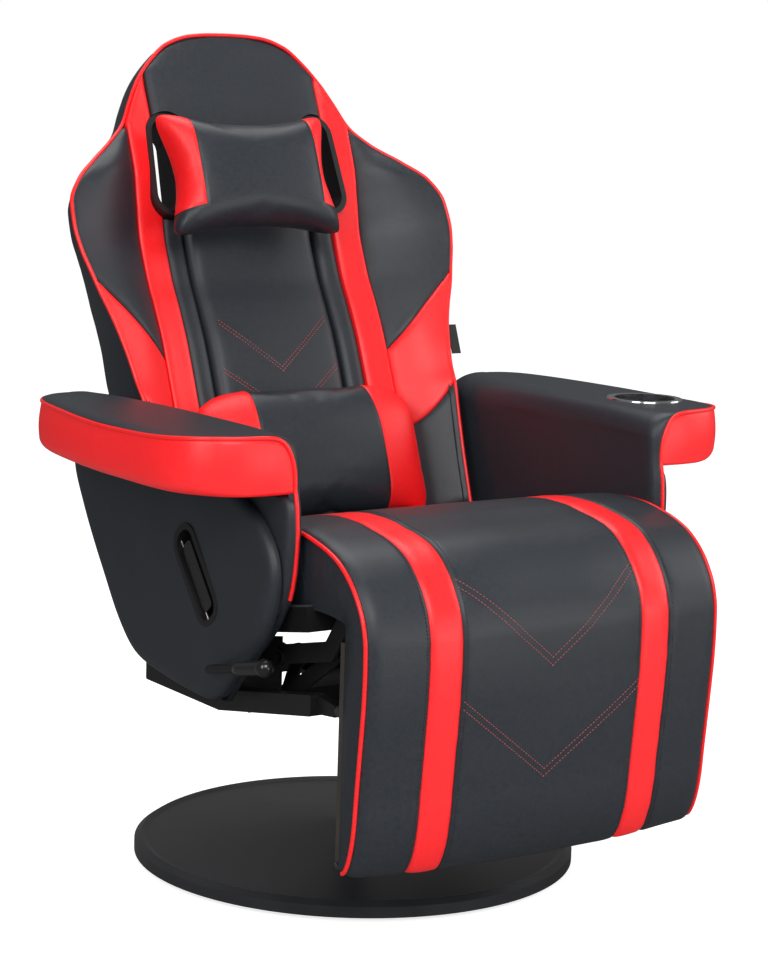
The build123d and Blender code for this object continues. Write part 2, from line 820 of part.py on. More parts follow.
def torque_tube_part():
    """The cross tube with a welded crank near each end."""
    half = rail_inner_x + side_plate_thickness
    bore_radius = torque_tube_radius - torque_tube_wall
    ring = disc_at(*torque_pivot, torque_tube_radius) - disc_at(*torque_pivot, bore_radius)
    tube = side_solid(ring, -half, half)
    crank_face = bar_between(torque_pivot, crank_tip, crank_width) + disc_at(*torque_pivot, crank_hub_radius)
    crank_face -= disc_at(*torque_pivot, torque_tube_radius)
    crank_face -= disc_at(*crank_tip, link_pin_radius + pin_clearance)
    crank = side_solid(crank_face, crank_x, crank_x + link_thickness)
    return tube + crank + mirrored(crank)


def coupling_link_part():
    """The link that runs from the crank to the leg rest bracket."""
    face = bar_between(crank_tip, bracket_tip, link_width)
    for place in (crank_tip, bracket_tip):
        face -= disc_at(*place, link_pin_radius + pin_clearance)
    return side_solid(face, link_x, link_x + link_thickness)


stop_middle_z = rail_bottom_z + rail_front_rise + rail_height / 2
stop_tip_y = rail_front_y - stop_bar_reach


def stop_bar_part():
    """A tapered bar on the front end of the rail."""
    root = stop_bar_root_height / 2
    tip = stop_bar_tip_height / 2
    face = make_face(Polyline(
        (rail_front_y, stop_middle_z - root), (rail_front_y, stop_middle_z + root),
        (stop_tip_y, stop_middle_z + tip), (stop_tip_y, stop_middle_z - tip), close=True,
    ))
    return side_solid(face, rail_inner_x, rail_inner_x + stop_bar_width)


def bumper_part():
    """A rubber bumper on the bar, against the back of the leg rest's board."""
    stop_centre_x = rail_inner_x + stop_bar_width / 2
    place = Plane((stop_centre_x, stop_tip_y, stop_middle_z), x_dir=(1, 0, 0), z_dir=(0, -1, 0))
    return extrude(place * Circle(bumper_radius), stop_tip_y - board_rear_y - body_gap)


# Arms

def arm_points(shares):
    """An arm outline in the side view from its table of shares."""
    depth = arm_rear_y - arm_front_y
    height = armrest_bottom_z - arm_bottom_z
    return [(arm_front_y + depth * across, arm_bottom_z + height * up) for across, up in shares]


def arm_face(shares):
    """The arm outline with its corners rounded, but square under the armrest."""
    radius = arm_round_share * (armrest_bottom_z - arm_bottom_z)
    radii = [0] + [radius] * (len(shares) - 2) + [0]
    return polygon(arm_points(shares), radii)


def arm_core_part():
    """The wing that stands beside the seat."""
    return side_solid(arm_face(arm_core_shares), arm_inner_x, arm_panel_x)


def arm_panel_part():
    """The padded outer panel: its edges drawn in towards the wing and its face crowned."""
    face = arm_face(arm_panel_shares)
    panel = side_solid(face, arm_panel_x, arm_outer_x)
    outer_edges = panel.faces().sort_by(Axis.X)[-1].edges()
    return chamfer(outer_edges, arm_panel_bevel)


def armrest_outline():
    """The armrest's outline from above, on the left side."""
    inner = arm_inner_x + edge_round
    width = armrest_outer_x - inner
    points = [
        (inner, armrest_front_y), (armrest_outer_x, armrest_front_y), (armrest_outer_x, 0),
        (inner + width * armrest_rear_share, armrest_heel_y),
        (inner + width * armrest_heel_share, armrest_heel_y),
        (inner + width * armrest_waist_share, armrest_waist_y), (inner, armrest_straight_y),
    ]
    radii = [
        armrest_edge_round, armrest_corner_radius, armrest_corner_radius, armrest_rear_radius,
        armrest_heel_radius, armrest_corner_radius, armrest_corner_radius,
    ]
    return polygon(points, radii)


def armrest_solid():
    """The whole armrest pad with its top edge rounded."""
    height = armrest_top_z - armrest_bottom_z
    body = Pos(0, 0, armrest_bottom_z) * extrude(armrest_outline(), height)
    return fillet(body.faces().sort_by(Axis.Z)[-1].edges(), armrest_edge_round)


def armband_part():
    """The band round the front and the outer side of the armrest."""
    height = armband_top_z - armrest_bottom_z
    inner = Pos(0, 0, armrest_bottom_z) * extrude(offset(armrest_outline(), -armband_thickness), height)
    band = armrest_solid() - inner
    above = Pos(armrest_outer_x, 0, armband_top_z) * Box(
        armrest_outer_x, armrest_outer_x * 2, armrest_outer_x, align=(Align.CENTER, Align.CENTER, Align.MIN)
    )
    inner_side = Pos(arm_inner_x, armrest_front_y + armband_start, armrest_bottom_z - overrun) * Box(
        armrest_corner_radius, armrest_outer_x * 2, armrest_outer_x,
        align=(Align.CENTER, Align.MIN, Align.MIN),
    )
    band = band - above - inner_side
    return band.solids().sort_by(SortBy.VOLUME)[-1]


def cup_pocket():
    """The room that the cup holder takes in the armrest."""
    top = armrest_top_z + overrun
    bottom = armrest_top_z + cup_rim_height - cup_depth - cup_wall
    return Pos(cup_centre_x, cup_centre_y, bottom) * Cylinder(
        cup_radius + cup_wall, top - bottom, align=(Align.CENTER, Align.CENTER, Align.MIN)
    )


def cup_holder_part():
    """The cup holder: a deep drawn cup with a rolled rim on the armrest."""
    top = armrest_top_z + cup_rim_height
    bottom = top - cup_depth - cup_wall
    profile = [
        (0, bottom), (cup_radius + cup_wall, bottom), (cup_radius + cup_wall, armrest_top_z),
        (cup_rim_radius, armrest_top_z), (cup_rim_radius - cup_wall / 2, top), (cup_radius, top),
        (cup_radius, bottom + cup_wall), (0, bottom + cup_wall),
    ]
    cup = revolve(Plane.XZ * make_face(Polyline(*profile, close=True)), Axis.Z)
    return Pos(cup_centre_x, cup_centre_y, 0) * cup


# Release handle

def handle_plane(level):
    """A plane on the right arm at a distance out from the middle: x runs rearward across the handle."""
    slant = radians(handle_slant)
    return Plane(
        origin=(-level, handle_centre_y, handle_centre_z),
        x_dir=(0, cos(slant), -sin(slant)), z_dir=(-1, 0, 0),
    )


handle_floor_x = arm_outer_x - handle_recess_depth
paddle_pin_offset = handle_width / 2 - bezel_wall - paddle_thickness
paddle_level = arm_outer_x - paddle_thickness


def handle_room():
    """The recess that the bezel fills."""
    face = RectangleRounded(handle_width, handle_length, handle_width / 2 - edge_round)
    return extrude(handle_plane(handle_floor_x) * face, handle_recess_depth + overrun)


def paddle_pin_shape(radius, length):
    """A round bar along the paddle's hinge line."""
    line = handle_plane(paddle_level) * Pos(paddle_pin_offset, 0, 0) * Rot(90, 0, 0)
    return line * Cylinder(radius, length)


def handle_bezel_part():
    """The moulded dish of the release handle, with a lip on the panel."""
    outer = RectangleRounded(handle_width, handle_length, handle_width / 2 - edge_round)
    bezel = extrude(handle_plane(handle_floor_x) * outer, handle_recess_depth)
    bezel += extrude(handle_plane(arm_outer_x) * offset(outer, bezel_lip), bezel_lip_height)
    dish_floor = handle_plane(handle_floor_x + bezel_wall)
    dish = extrude(dish_floor * offset(outer, -bezel_wall), handle_recess_depth)
    bezel -= dish
    return bezel - paddle_pin_shape(paddle_pin_radius, paddle_pin_length)


def release_paddle_part():
    """The paddle that fingers pull outwards, with a knuckle along its rear edge."""
    plate_place = Pos(paddle_pin_offset - paddle_width / 2, 0)
    plate = plate_place * RectangleRounded(paddle_width, paddle_length, paddle_corner)
    paddle = extrude(handle_plane(paddle_level - paddle_thickness / 2) * plate, paddle_thickness)
    paddle += paddle_pin_shape(paddle_thickness / 2 + body_gap, paddle_length - paddle_end_gap)
    return paddle - paddle_pin_shape(paddle_pin_radius + pin_clearance, paddle_pin_length)


def paddle_pin_part():
    """The pin that the paddle turns on, held by the ends of the bezel."""
    return paddle_pin_shape(paddle_pin_radius, paddle_pin_length)


# Recline lever

def lever_direction():
    """Unit step along the lever, forward and up, in the side view."""
    slope = radians(lever_slope)
    return -cos(slope), sin(slope)


def lever_rod_part():
    """The lever's shaft through the arm, cranked forward outside it."""
    step_y, step_z = lever_direction()
    shaft = x_pin(*lever_pivot, -lever_arm_x, pin_end_reach - side_plate_x, lever_shaft_radius)
    knuckle = Pos(-lever_arm_x, lever_pivot_y, lever_pivot_z) * Sphere(lever_shaft_radius)
    plane = Plane((-lever_arm_x, lever_pivot_y, lever_pivot_z), x_dir=(1, 0, 0), z_dir=(0, step_y, step_z))
    arm = extrude(plane * Circle(lever_shaft_radius), lever_arm_length)
    return shaft + knuckle + arm


def lever_grip_part():
    """The moulded grip with its ball end."""
    step_y, step_z = lever_direction()
    reach = lever_arm_length
    plane = Plane(
        (-lever_arm_x, lever_pivot_y + reach * step_y, lever_pivot_z + reach * step_z),
        x_dir=(1, 0, 0), z_dir=(0, step_y, step_z),
    )
    neck = lever_grip_radius / 2 + lever_shaft_radius / 2
    grip_end = lever_grip_length
    profile = [
        (0, 0), (neck, 0), (lever_grip_radius, lever_grip_radius),
        (lever_grip_radius, grip_end), (0, grip_end),
    ]
    grip = revolve(Plane.XZ * make_face(Polyline(*profile, close=True)), Axis.Z)
    ball = Pos(0, 0, grip_end + lever_ball_radius / 2) * Sphere(lever_ball_radius)
    return plane * (grip + ball)


def lever_bore():
    """The running bore for the lever's shaft."""
    return x_pin(*lever_pivot, -arm_outer_x - overrun, 0, lever_shaft_radius + pin_clearance)


# Backrest

def back_outline(inset_top, inset_bottom):
    """The backrest's outline in its own plane, drawn in by an inset that may differ above and below."""
    points = []
    for x_share, up_share in back_edge_shares:
        inset = inset_bottom if up_share < back_waist_share else inset_top
        up = back_bottom + (back_height - back_bottom) * up_share
        if up_share > back_head_share:
            up -= inset
        points.append((max(back_half_width * x_share - inset, 0), up))
    left = [(-x, up) for x, up in reversed(points[:-1])]
    radii = [share * back_half_width for share in back_edge_radius_shares]
    return polygon(points + left, radii + list(reversed(radii[:-1])))


def shell_solid():
    """The rear shell before its slots and channels: shallow at the head and deep at the foot."""
    rise = degrees(atan2(shell_depth_bottom - shell_depth_top, back_height))
    front = back_plane * Pos(0, 0, shell_front) * back_outline(shell_inset_top, shell_inset_bottom)
    sections = [front]
    for depth_share, inset in ((1 / 2, shell_rear_inset * shell_middle_share), (1, shell_rear_inset)):
        top = back_plane * Pos(0, back_height, shell_front - shell_depth_top * depth_share)
        place = top * Rot(rise * depth_share, 0, 0) * Pos(0, -back_height, 0)
        sections.append(place * back_outline(shell_inset_top + inset, shell_inset_bottom + inset))
    return loft(sections, ruled=True)


def slot_face(half_width, length):
    """The belt slot's outline, leaning inwards at the top, on the left."""
    place = Pos(slot_centre_x, slot_centre_v) * Rot(0, 0, slot_lean)
    return place * SlotOverall(length, 2 * half_width, rotation=90)


def slot_body(half_width, length, low, high):
    """A stretch of the belt slot's shape through the backrest."""
    return extrude(back_plane * Pos(0, 0, low) * slot_face(half_width, length), high - low)


slot_rear = shell_front - shell_depth_bottom
slot_room_half = slot_half_width + slot_rim_wall
slot_room_length = slot_length + 2 * slot_rim_wall


def slot_room():
    """All that a slot and its rim take out of the pads and the shell."""
    return slot_body(slot_room_half + soft_gap, slot_room_length + 2 * soft_gap, slot_rear, 2 * wing_depth)


def slot_rim_part():
    """The moulded rim that lines a belt slot from front to back."""
    outer = slot_body(slot_room_half, slot_room_length, slot_rear, slot_rim_front)
    hole = slot_body(slot_half_width, slot_length, slot_rear - overrun, wing_depth)
    rim = outer - hole
    behind = shell_front - shell_depth_top - overrun
    return rim - back_box(-back_half_width, back_half_width, 0, back_height, slot_rear - overrun, behind)


def frame_bars():
    """The bars of the back frame, as extents across and up the backrest."""
    width = frame_tube_width
    head = frame_head_x
    side = frame_side_x
    return [
        (side, side + width, frame_bottom_v, frame_cross_v + width),
        (-side - width, -side, frame_bottom_v, frame_cross_v + width),
        (-side, side, frame_cross_v, frame_cross_v + width),
        (-side, side, frame_foot_v, frame_foot_v + width),
        (head, head + width, frame_cross_v + width, frame_top_v),
        (-head - width, -head, frame_cross_v + width, frame_top_v),
        (-head, head, frame_top_v - width, frame_top_v),
    ]


def back_frame_part():
    """The welded frame of square tube inside the backrest."""
    bars = [back_box(*bar, shell_front - frame_tube_depth, shell_front) for bar in frame_bars()]
    frame = bars[0]
    for bar in bars[1:]:
        frame += bar
    return frame


back_pivot = (back_pivot_y, back_pivot_z)


def back_bracket_part():
    """A hinge bracket beside the back frame, down to the backrest's pivot."""
    lean = radians(back_lean)
    middle_w = shell_front - frame_tube_depth / 2
    top = (
        back_foot_y + back_bracket_top * sin(lean) - middle_w * cos(lean),
        back_foot_z + back_bracket_top * cos(lean) + middle_w * sin(lean),
    )
    face = bar_between(top, back_pivot, back_bracket_width)
    face -= disc_at(*back_pivot, back_pin_radius + pin_clearance)
    return side_solid(face, back_bracket_x, back_bracket_x + back_bracket_thickness)


def bracket_room():
    """The slit that a hinge bracket needs in the shell and the wing."""
    lean = radians(back_lean)
    middle_w = shell_front - frame_tube_depth / 2
    top = (
        back_foot_y + back_bracket_top * sin(lean) - middle_w * cos(lean),
        back_foot_z + back_bracket_top * cos(lean) + middle_w * sin(lean),
    )
    face = bar_between(top, back_pivot, back_bracket_width + 2 * soft_gap)
    return side_solid(face, back_bracket_x - soft_gap, back_bracket_x + back_bracket_thickness + soft_gap)


def back_shell_part():
    """The rear shell with its slots, the frame's channels and the brackets' slits."""
    shell = shell_solid()
    for bar in frame_bars():
        x_from, x_to, up_from, up_to = bar
        shell -= back_box(
            x_from - soft_gap, x_to + soft_gap, up_from - soft_gap, up_to + soft_gap,
            shell_front - frame_tube_depth - soft_gap, shell_front + overrun,
        )
    for room in (slot_room(), bracket_room()):
        shell -= room
        shell -= mirrored(room)
    return shell


def level_section(up, points):
    """A section across the backrest at a height along it, from (x, forward) points."""
    place = back_plane * Pos(0, up, 0) * Rot(90, 0, 0)
    return place * make_face(Polyline(*points, close=True))


def centre_pad_part():
    """The middle pad of the backrest: crowned between two deep sewn grooves."""
    sections = []
    for up_share, _ in valley_shares[:-1]:
        up = min(up_share * back_height, head_seam - soft_gap)
        level = valley_level(up)
        half = [
            (groove_x - groove_lip, level), (groove_x, level - groove_depth),
            (groove_x + groove_back, level - edge_round), (strip_inner_x - soft_gap, level),
            (strip_inner_x - soft_gap, shell_front),
        ]
        crest_x = (groove_x - groove_lip) / 2
        middle = [(-crest_x, level + centre_crown), (crest_x, level + centre_crown)]
        left = [(-x, forward) for x, forward in reversed(half)]
        sections.append(level_section(up, left + middle + half))
    pad = loft(sections)
    room = slot_room()
    return pad - room - mirrored(room)


def strip_part():
    """A narrow sewn strip between the middle and a wing, running up into the head."""
    sections = []
    stations = [row[0] for row in valley_shares[:-1]] + [strip_top / back_height]
    for up_share in stations:
        up = min(up_share * back_height, strip_top)
        level = valley_level(min(up, back_height * valley_shares[-1][0]))
        outer = min(strip_outer_x, back_edge_x(up) - strip_edge_gap)
        outer = max(outer, strip_inner_x + edge_round)
        points = [
            (strip_inner_x, shell_front), (strip_inner_x, level), (outer, level), (outer, shell_front),
        ]
        sections.append(level_section(up, points))
    return loft(sections, ruled=True) - slot_room()


def back_edge_x(up):
    """Half width of the backrest at a height along it."""
    rows = [(up_share, x_share) for x_share, up_share in back_edge_shares]
    share = (up - back_bottom) / (back_height - back_bottom)
    return back_half_width * share_between(rows, share)


def wing_part():
    """A side wing: its front edge stands forward of the strip beside it."""
    sections = []
    for up_share, x_share, forward_share in wing_station_shares:
        up = up_share * back_height
        outer = x_share * back_half_width
        forward = forward_share * wing_depth
        level = valley_level(up)
        inset = shell_inset_bottom if up_share < back_waist_share else shell_inset_top
        inner = strip_outer_x + soft_gap
        rear_outer = max(outer - inset, inner + edge_round)
        crown = ((inner + outer) / 2, (level + forward) / 2 + wing_crown)
        points = [(inner, shell_front), (inner, level), crown, (outer, forward), (rear_outer, shell_front)]
        sections.append(level_section(up, points))
    return loft(sections) - bracket_room()


def head_outline(inset):
    """The head pad's outline in the backrest's plane."""
    low = head_seam + (inset + edge_round) / 2
    high = back_height - inset
    side = strip_inner_x - edge_round - inset
    shoulder = back_edge_shares[6]
    shoulder_point = (shoulder[0] * back_half_width - inset, shoulder[1] * back_height - inset)
    points = [(side, low), (side, strip_top - inset), shoulder_point, (0, high)]
    left = [(-x, up) for x, up in reversed(points[:-1])]
    crown_radius = back_edge_radius_shares[-1] * back_half_width
    radii = [head_low_radius, head_side_radius, head_shoulder_radius, crown_radius]
    return polygon(points + left, radii + list(reversed(radii[:-1])))


def head_pad_part():
    """The head pad: crowned, with its edge drawn in to the piping."""
    head_level = valley_level(back_height * valley_shares[-1][0])
    levels = [
        (shell_front, head_rear_inset), (head_level - edge_round, 0),
        (head_level + head_crown / 2, head_front_inset),
        (head_level + head_crown, head_crown_inset),
    ]
    pad = loft([back_plane * Pos(0, 0, level) * head_outline(inset) for level, inset in levels])
    room = slot_room()
    return pad - room - mirrored(room)


def pillow(half_width, height, depth, centre_up, seat_level):
    """A stuffed pillow: pulled in between its four corners and swollen in the middle."""
    sections = []
    for depth_share, size_share, round_share in pillow_shares:
        wide = 2 * half_width * size_share
        high = height * size_share
        face = Pos(0, centre_up) * RectangleRounded(wide, high, height * round_share)
        sections.append(back_plane * Pos(0, 0, seat_level + depth * depth_share) * face)
    return loft(sections)


def head_pillow_part():
    """The head pillow."""
    return pillow(
        head_pillow_half_width, head_pillow_height, head_pillow_depth, head_pillow_centre_v, head_pillow_seat
    )


def lumbar_pillow_part():
    """The lumbar pillow, just clear of the seat."""
    return pillow(lumbar_half_width, lumbar_height, lumbar_depth, lumbar_centre_v, lumbar_seat)


def tag_part():
    """The blank tag sewn into the left edge."""
    level = wing_depth * tag_level_share
    x_from = back_edge_x(tag_centre_v)
    low = level - tag_thickness / 2
    return back_box(
        x_from + tag_root_gap, x_from + tag_reach,
        tag_centre_v - tag_length / 2, tag_centre_v + tag_length / 2,
        low, low + tag_thickness,
    )


def seat_ear_part():
    """The ear at the rear of the seat frame that carries the backrest's pin."""
    level = frame_underside + seat_frame_height / 2
    root = seat_point(seat_frame_rear - seat_frame_rail, level)
    corner = seat_point(seat_frame_rear + seat_ear_reach, level)
    face = bar_between(root, corner, seat_ear_width) + bar_between(corner, back_pivot, seat_ear_width)
    face += disc_at(*back_pivot, ear_boss_radius)
    face -= disc_at(*back_pivot, back_pin_radius + pin_clearance)
    return side_solid(face, seat_ear_x, seat_ear_x + seat_ear_thickness)


def back_pin_part():
    """The backrest's hinge pin."""
    head_x = back_bracket_x - pin_end_reach
    pin = x_pin(*back_pivot, head_x, seat_ear_x + seat_ear_thickness + pin_end_reach, back_pin_radius)
    return pin + x_pin(*back_pivot, head_x - pin_head_thickness, head_x, back_pin_radius + pin_head_thickness)


def build_nodes():
    """Every piece of the chair under its node name."""
    nodes = {
        "base_cover": base_cover_part(),
        "base_plate": base_plate_part(),
        "floor_glides": floor_glides_part(),
        "swivel_post": swivel_post_part(),
        "flange_bolts": flange_bolts_part(),
        "thrust_washer": thrust_washer_part(),
        "swivel_bolt": swivel_bolt_part(),
        "swivel_hub": swivel_hub_part(),
        "cross_tubes": joined([cross_tube_part(cross_front_y), cross_tube_part(cross_rear_y)]),
        "seat_webbing": seat_webbing_part(),
        "seat_cushion": seat_cushion_part(),
        "knee_cover": knee_cover_part(),
        "leg_pad": leg_pad_part(),
        "leg_board": leg_board_part(),
        "torque_tube": torque_tube_part(),
        "back_frame": back_frame_part(),
        "back_shell": back_shell_part(),
        "centre_pad": centre_pad_part(),
        "head_pad": head_pad_part(),
        "head_pillow": head_pillow_part(),
        "lumbar_pillow": lumbar_pillow_part(),
        "side_tag": tag_part(),
        "cup_holder": cup_holder_part(),
        "handle_bezel": handle_bezel_part(),
        "release_paddle": release_paddle_part(),
        "paddle_pin": paddle_pin_part(),
        "lever_rod": lever_rod_part(),
        "lever_grip": lever_grip_part(),
    }
    seat_side, seat_front, seat_rear = seat_rails()
    nodes["seat_rail_front"] = seat_front
    nodes["seat_rail_rear"] = seat_rear

    # Small alike pieces share one node
    alike = {
        "footrest_pins": hinge_pin_part(),
        "link_pins": joined([
            link_pin_part(crank_tip, crank_x, link_x + link_thickness),
            link_pin_part(bracket_tip, link_x, bracket_x + bracket_thickness),
        ]),
        "stop_bars": stop_bar_part(),
        "stop_bumpers": bumper_part(),
        "back_brackets": back_bracket_part(),
        "seat_ears": seat_ear_part(),
        "back_pins": back_pin_part(),
        "slot_rims": slot_rim_part(),
    }
    for name, shape in alike.items():
        nodes[name] = joined([shape, mirrored(shape)])

    armrest = armrest_solid()
    armband = armband_part()
    pad = armrest - armband
    lever_hole = lever_bore()
    room = handle_room()
    plate = side_plate_part()
    core = arm_core_part()
    panel = arm_panel_part()
    nodes["armrest_left"] = pad - cup_pocket()
    nodes["armrest_right"] = mirrored(pad)
    nodes["side_plate_left"] = plate
    nodes["side_plate_right"] = mirrored(plate) - lever_hole
    nodes["arm_core_left"] = core
    nodes["arm_core_right"] = mirrored(core) - lever_hole - room
    nodes["arm_panel_left"] = panel
    nodes["arm_panel_right"] = mirrored(panel) - lever_hole - room

    pairs = {
        "side_rail": rail_part(),
        "seat_rail": seat_side,
        "footrest_bracket": footrest_bracket_part(),
        "coupling_link": coupling_link_part(),
        "armband": armband,
        "back_strip": strip_part(),
        "back_wing": wing_part(),
    }
    for name, shape in pairs.items():
        nodes[name + "_left"] = shape
        nodes[name + "_right"] = mirrored(shape)
    return nodes


def main():
    os.makedirs("parts", exist_ok=True)
    for name, shape in build_nodes().items():
        export_step(shape, f"parts/{name}.step")


main()
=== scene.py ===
# %% [markdown]
# # A swivel gaming recliner, dressed for its portrait
#
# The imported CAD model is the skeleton: steel, plastic and plain blocks where the upholstery goes. This
# notebook keeps the hard parts, gives them proper finishes, and sews new covers over the soft ones. Every
# length is in metres once it reaches Blender, and the chair faces -Y with +Z up. Most tables are in
# millimetres, and MM turns them into metres.

# %% Load the frame
import math

import bpy
import bmesh
import numpy as np
from mathutils import Matrix, Vector, noise


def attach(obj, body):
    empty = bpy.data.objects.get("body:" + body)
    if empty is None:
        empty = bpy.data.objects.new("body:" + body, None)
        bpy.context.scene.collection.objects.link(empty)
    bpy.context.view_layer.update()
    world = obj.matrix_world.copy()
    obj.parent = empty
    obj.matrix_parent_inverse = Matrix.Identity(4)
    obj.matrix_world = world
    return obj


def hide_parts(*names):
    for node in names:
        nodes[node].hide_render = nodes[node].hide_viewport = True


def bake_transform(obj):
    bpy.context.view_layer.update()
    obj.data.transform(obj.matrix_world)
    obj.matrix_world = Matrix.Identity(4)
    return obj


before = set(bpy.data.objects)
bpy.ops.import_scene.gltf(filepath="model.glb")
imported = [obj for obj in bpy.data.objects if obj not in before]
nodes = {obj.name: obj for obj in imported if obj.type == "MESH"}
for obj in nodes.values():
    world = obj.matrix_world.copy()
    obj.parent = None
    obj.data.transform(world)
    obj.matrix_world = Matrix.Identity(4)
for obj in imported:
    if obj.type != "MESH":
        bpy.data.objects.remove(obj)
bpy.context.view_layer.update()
scene = bpy.context.scene
MM = 0.001

# %% [markdown]
# ## Camera
#
# The photograph was taken a little above the armrests, from the sitter's right, with a long lens. The place
# and the direction were solved from the base, the seat and the arms, so a piece that is right in space is
# right in the picture too. The small roll comes from the same fit.

# %% Camera
camera_place = Vector((-1.84362, -2.74358, 1.02335))
look = Vector((0.5574, 0.8155, -0.1557)).normalized()
roll = math.radians(1.79)
level = look.cross(Vector((0, 0, 1))).normalized()
upright = level.cross(look).normalized()
across = level * math.cos(roll) + upright * math.sin(roll)
above = upright * math.cos(roll) - level * math.sin(roll)

camera_data = bpy.data.cameras.new("camera")
camera_data.lens = 96.45
camera_data.sensor_width = 36.0
camera_data.clip_end = 50.0
camera = bpy.data.objects.new("camera", camera_data)
scene.collection.objects.link(camera)
turned = Matrix((across, above, -look)).transposed()
camera.matrix_world = Matrix.Translation(camera_place) @ turned.to_4x4()
scene.camera = camera
print("camera", round(camera_place.length, 2), "m from the chair's foot")

# %% [markdown]
# ## Light and floor
#
# A white sweep and large soft lamps, as in a catalogue. The sweep is white to the camera, but what it throws
# on the chair, and shows in its reflections, is kept low, so that red stays red and black leather keeps its
# sheen.

# %% Node helpers
def add_node(tree, kind, settings=None, values=None):
    """A node with its settings; each input gets a number, or a link from a socket."""
    made = tree.nodes.new(kind)
    for name, value in (settings or {}).items():
        setattr(made, name, value)
    for name, value in (values or {}).items():
        if isinstance(value, bpy.types.NodeSocket):
            tree.links.new(value, made.inputs[name])
        else:
            made.inputs[name].default_value = value
    return made


def maths(tree, operation, *values, clamp=False):
    """The output of a Math node; the values are sockets or numbers."""
    settings = {"operation": operation, "use_clamp": clamp}
    return add_node(tree, "ShaderNodeMath", settings, dict(enumerate(values))).outputs[0]


def emptied(holder):
    """The cleared node tree of a material or a world."""
    holder.use_nodes = True
    holder.node_tree.nodes.clear()
    return holder.node_tree


# %% World and floor
white = (1, 1, 1, 1)
sky_light, sky_mirrored = 0.42, 0.15
floor_glow = 0.78
scene.view_settings.view_transform = "Standard"

world = bpy.data.worlds.new("studio")
scene.world = world
tree = emptied(world)
ray = add_node(tree, "ShaderNodeLightPath").outputs
strength = maths(tree, "MULTIPLY_ADD", ray["Is Glossy Ray"], sky_mirrored - sky_light, sky_light)
lit = add_node(tree, "ShaderNodeBackground", values={"Color": white, "Strength": strength})
seen = add_node(tree, "ShaderNodeBackground", values={"Color": white, "Strength": 1.0})
straight = maths(tree, "MAXIMUM", ray["Is Camera Ray"], ray["Is Transmission Ray"])
mix = add_node(tree, "ShaderNodeMixShader", values={"Fac": straight, 1: lit.outputs[0], 2: seen.outputs[0]})
add_node(tree, "ShaderNodeOutputWorld", values={"Surface": mix.outputs[0]})

floor_material = bpy.data.materials.new("pale_floor")
tree = emptied(floor_material)
ray = add_node(tree, "ShaderNodeLightPath").outputs
matt = add_node(tree, "ShaderNodeBsdfPrincipled",
                values={"Base Color": (0.70, 0.70, 0.70, 1), "Roughness": 0.7, "Specular IOR Level": 0.2})
dim = add_node(tree, "ShaderNodeBsdfDiffuse", values={"Color": (0.16, 0.16, 0.16, 1)})
mirrored = add_node(tree, "ShaderNodeMixShader",
                    values={"Fac": ray["Is Glossy Ray"], 1: matt.outputs[0], 2: dim.outputs[0]})
glow = add_node(tree, "ShaderNodeEmission",
                values={"Strength": maths(tree, "MULTIPLY", ray["Is Camera Ray"], floor_glow)})
both = add_node(tree, "ShaderNodeAddShader", values={0: mirrored.outputs[0], 1: glow.outputs[0]})
add_node(tree, "ShaderNodeOutputMaterial", values={"Surface": both.outputs[0]})


def plain_mesh(name, points, faces):
    """A mesh object from lists of points and faces, in metres."""
    mesh = bpy.data.meshes.new(name)
    mesh.from_pydata([tuple(p) for p in points], [], faces)
    mesh.update()
    thing = bpy.data.objects.new(name, mesh)
    scene.collection.objects.link(thing)
    return thing


floor_reach = 30
floor_points = [(x * floor_reach, y * floor_reach, 0) for x, y in ((-1, -1), (1, -1), (1, 1), (-1, 1))]
floor = plain_mesh("floor", floor_points, [(0, 1, 2, 3)])
floor.data.materials.append(floor_material)
print("floor", 2 * floor_reach, "m across")

# %% Lamps: a name, a place, the point it looks at, its width and height, and its power
lamps = [
    ("key", (-1.0, -3.2, 2.6), (0.0, 0.0, 0.55), (2.0, 1.6), 66),
    ("side", (3.0, -1.2, 1.7), (0.0, 0.0, 0.5), (1.6, 2.2), 27),
    ("top", (0.2, 0.6, 3.2), (0.0, 0.0, 0.5), (2.4, 2.0), 48),
    ("left", (-3.1, -1.7, 2.0), (0.0, 0.0, 0.5), (1.4, 2.2), 45),
    ("sheen", (1.5, -3.4, 0.55), (0.0, -0.4, 0.3), (2.6, 1.0), 24),
]
for name, place, aim, size, power in lamps:
    data = bpy.data.lights.new(name, "AREA")
    data.shape = "RECTANGLE"
    data.size, data.size_y = size
    data.energy = power
    lamp = bpy.data.objects.new(name, data)
    lamp.location = place
    lamp.rotation_euler = (Vector(aim) - Vector(place)).to_track_quat("-Z", "Y").to_euler()
    scene.collection.objects.link(lamp)
print(len(lamps), "lamps")

# %% [markdown]
# ## Finishes
#
# Two leathers cover most of the chair. Their grain is the same, so it is built once as a shader group: fine
# pores from a Voronoi pattern, a slower swell between them, and a few broad creases. It puts out a height
# for the bump and a mask that varies colour and gloss. Metal, plastic, wood and cloth share a second, finer
# group. Both read object coordinates, because every finished piece sits at the origin.


# %% Shader groups
def new_group(name, inputs):
    """A shader group with numbers as inputs, which puts out a height and a mask."""
    group = bpy.data.node_groups.new(name, "ShaderNodeTree")
    for socket, value in inputs.items():
        made = group.interface.new_socket(socket, in_out="INPUT", socket_type="NodeSocketFloat")
        made.default_value = value
    for socket in ("Height", "Mask"):
        group.interface.new_socket(socket, in_out="OUTPUT", socket_type="NodeSocketFloat")
    sizes = group.nodes.new("NodeGroupInput").outputs
    where = add_node(group, "ShaderNodeTexCoord").outputs["Object"]
    return group, sizes, where


def close_group(group, height, mask):
    """Lead a group's two results to its outputs."""
    add_node(group, "NodeGroupOutput", values={"Height": height, "Mask": mask})


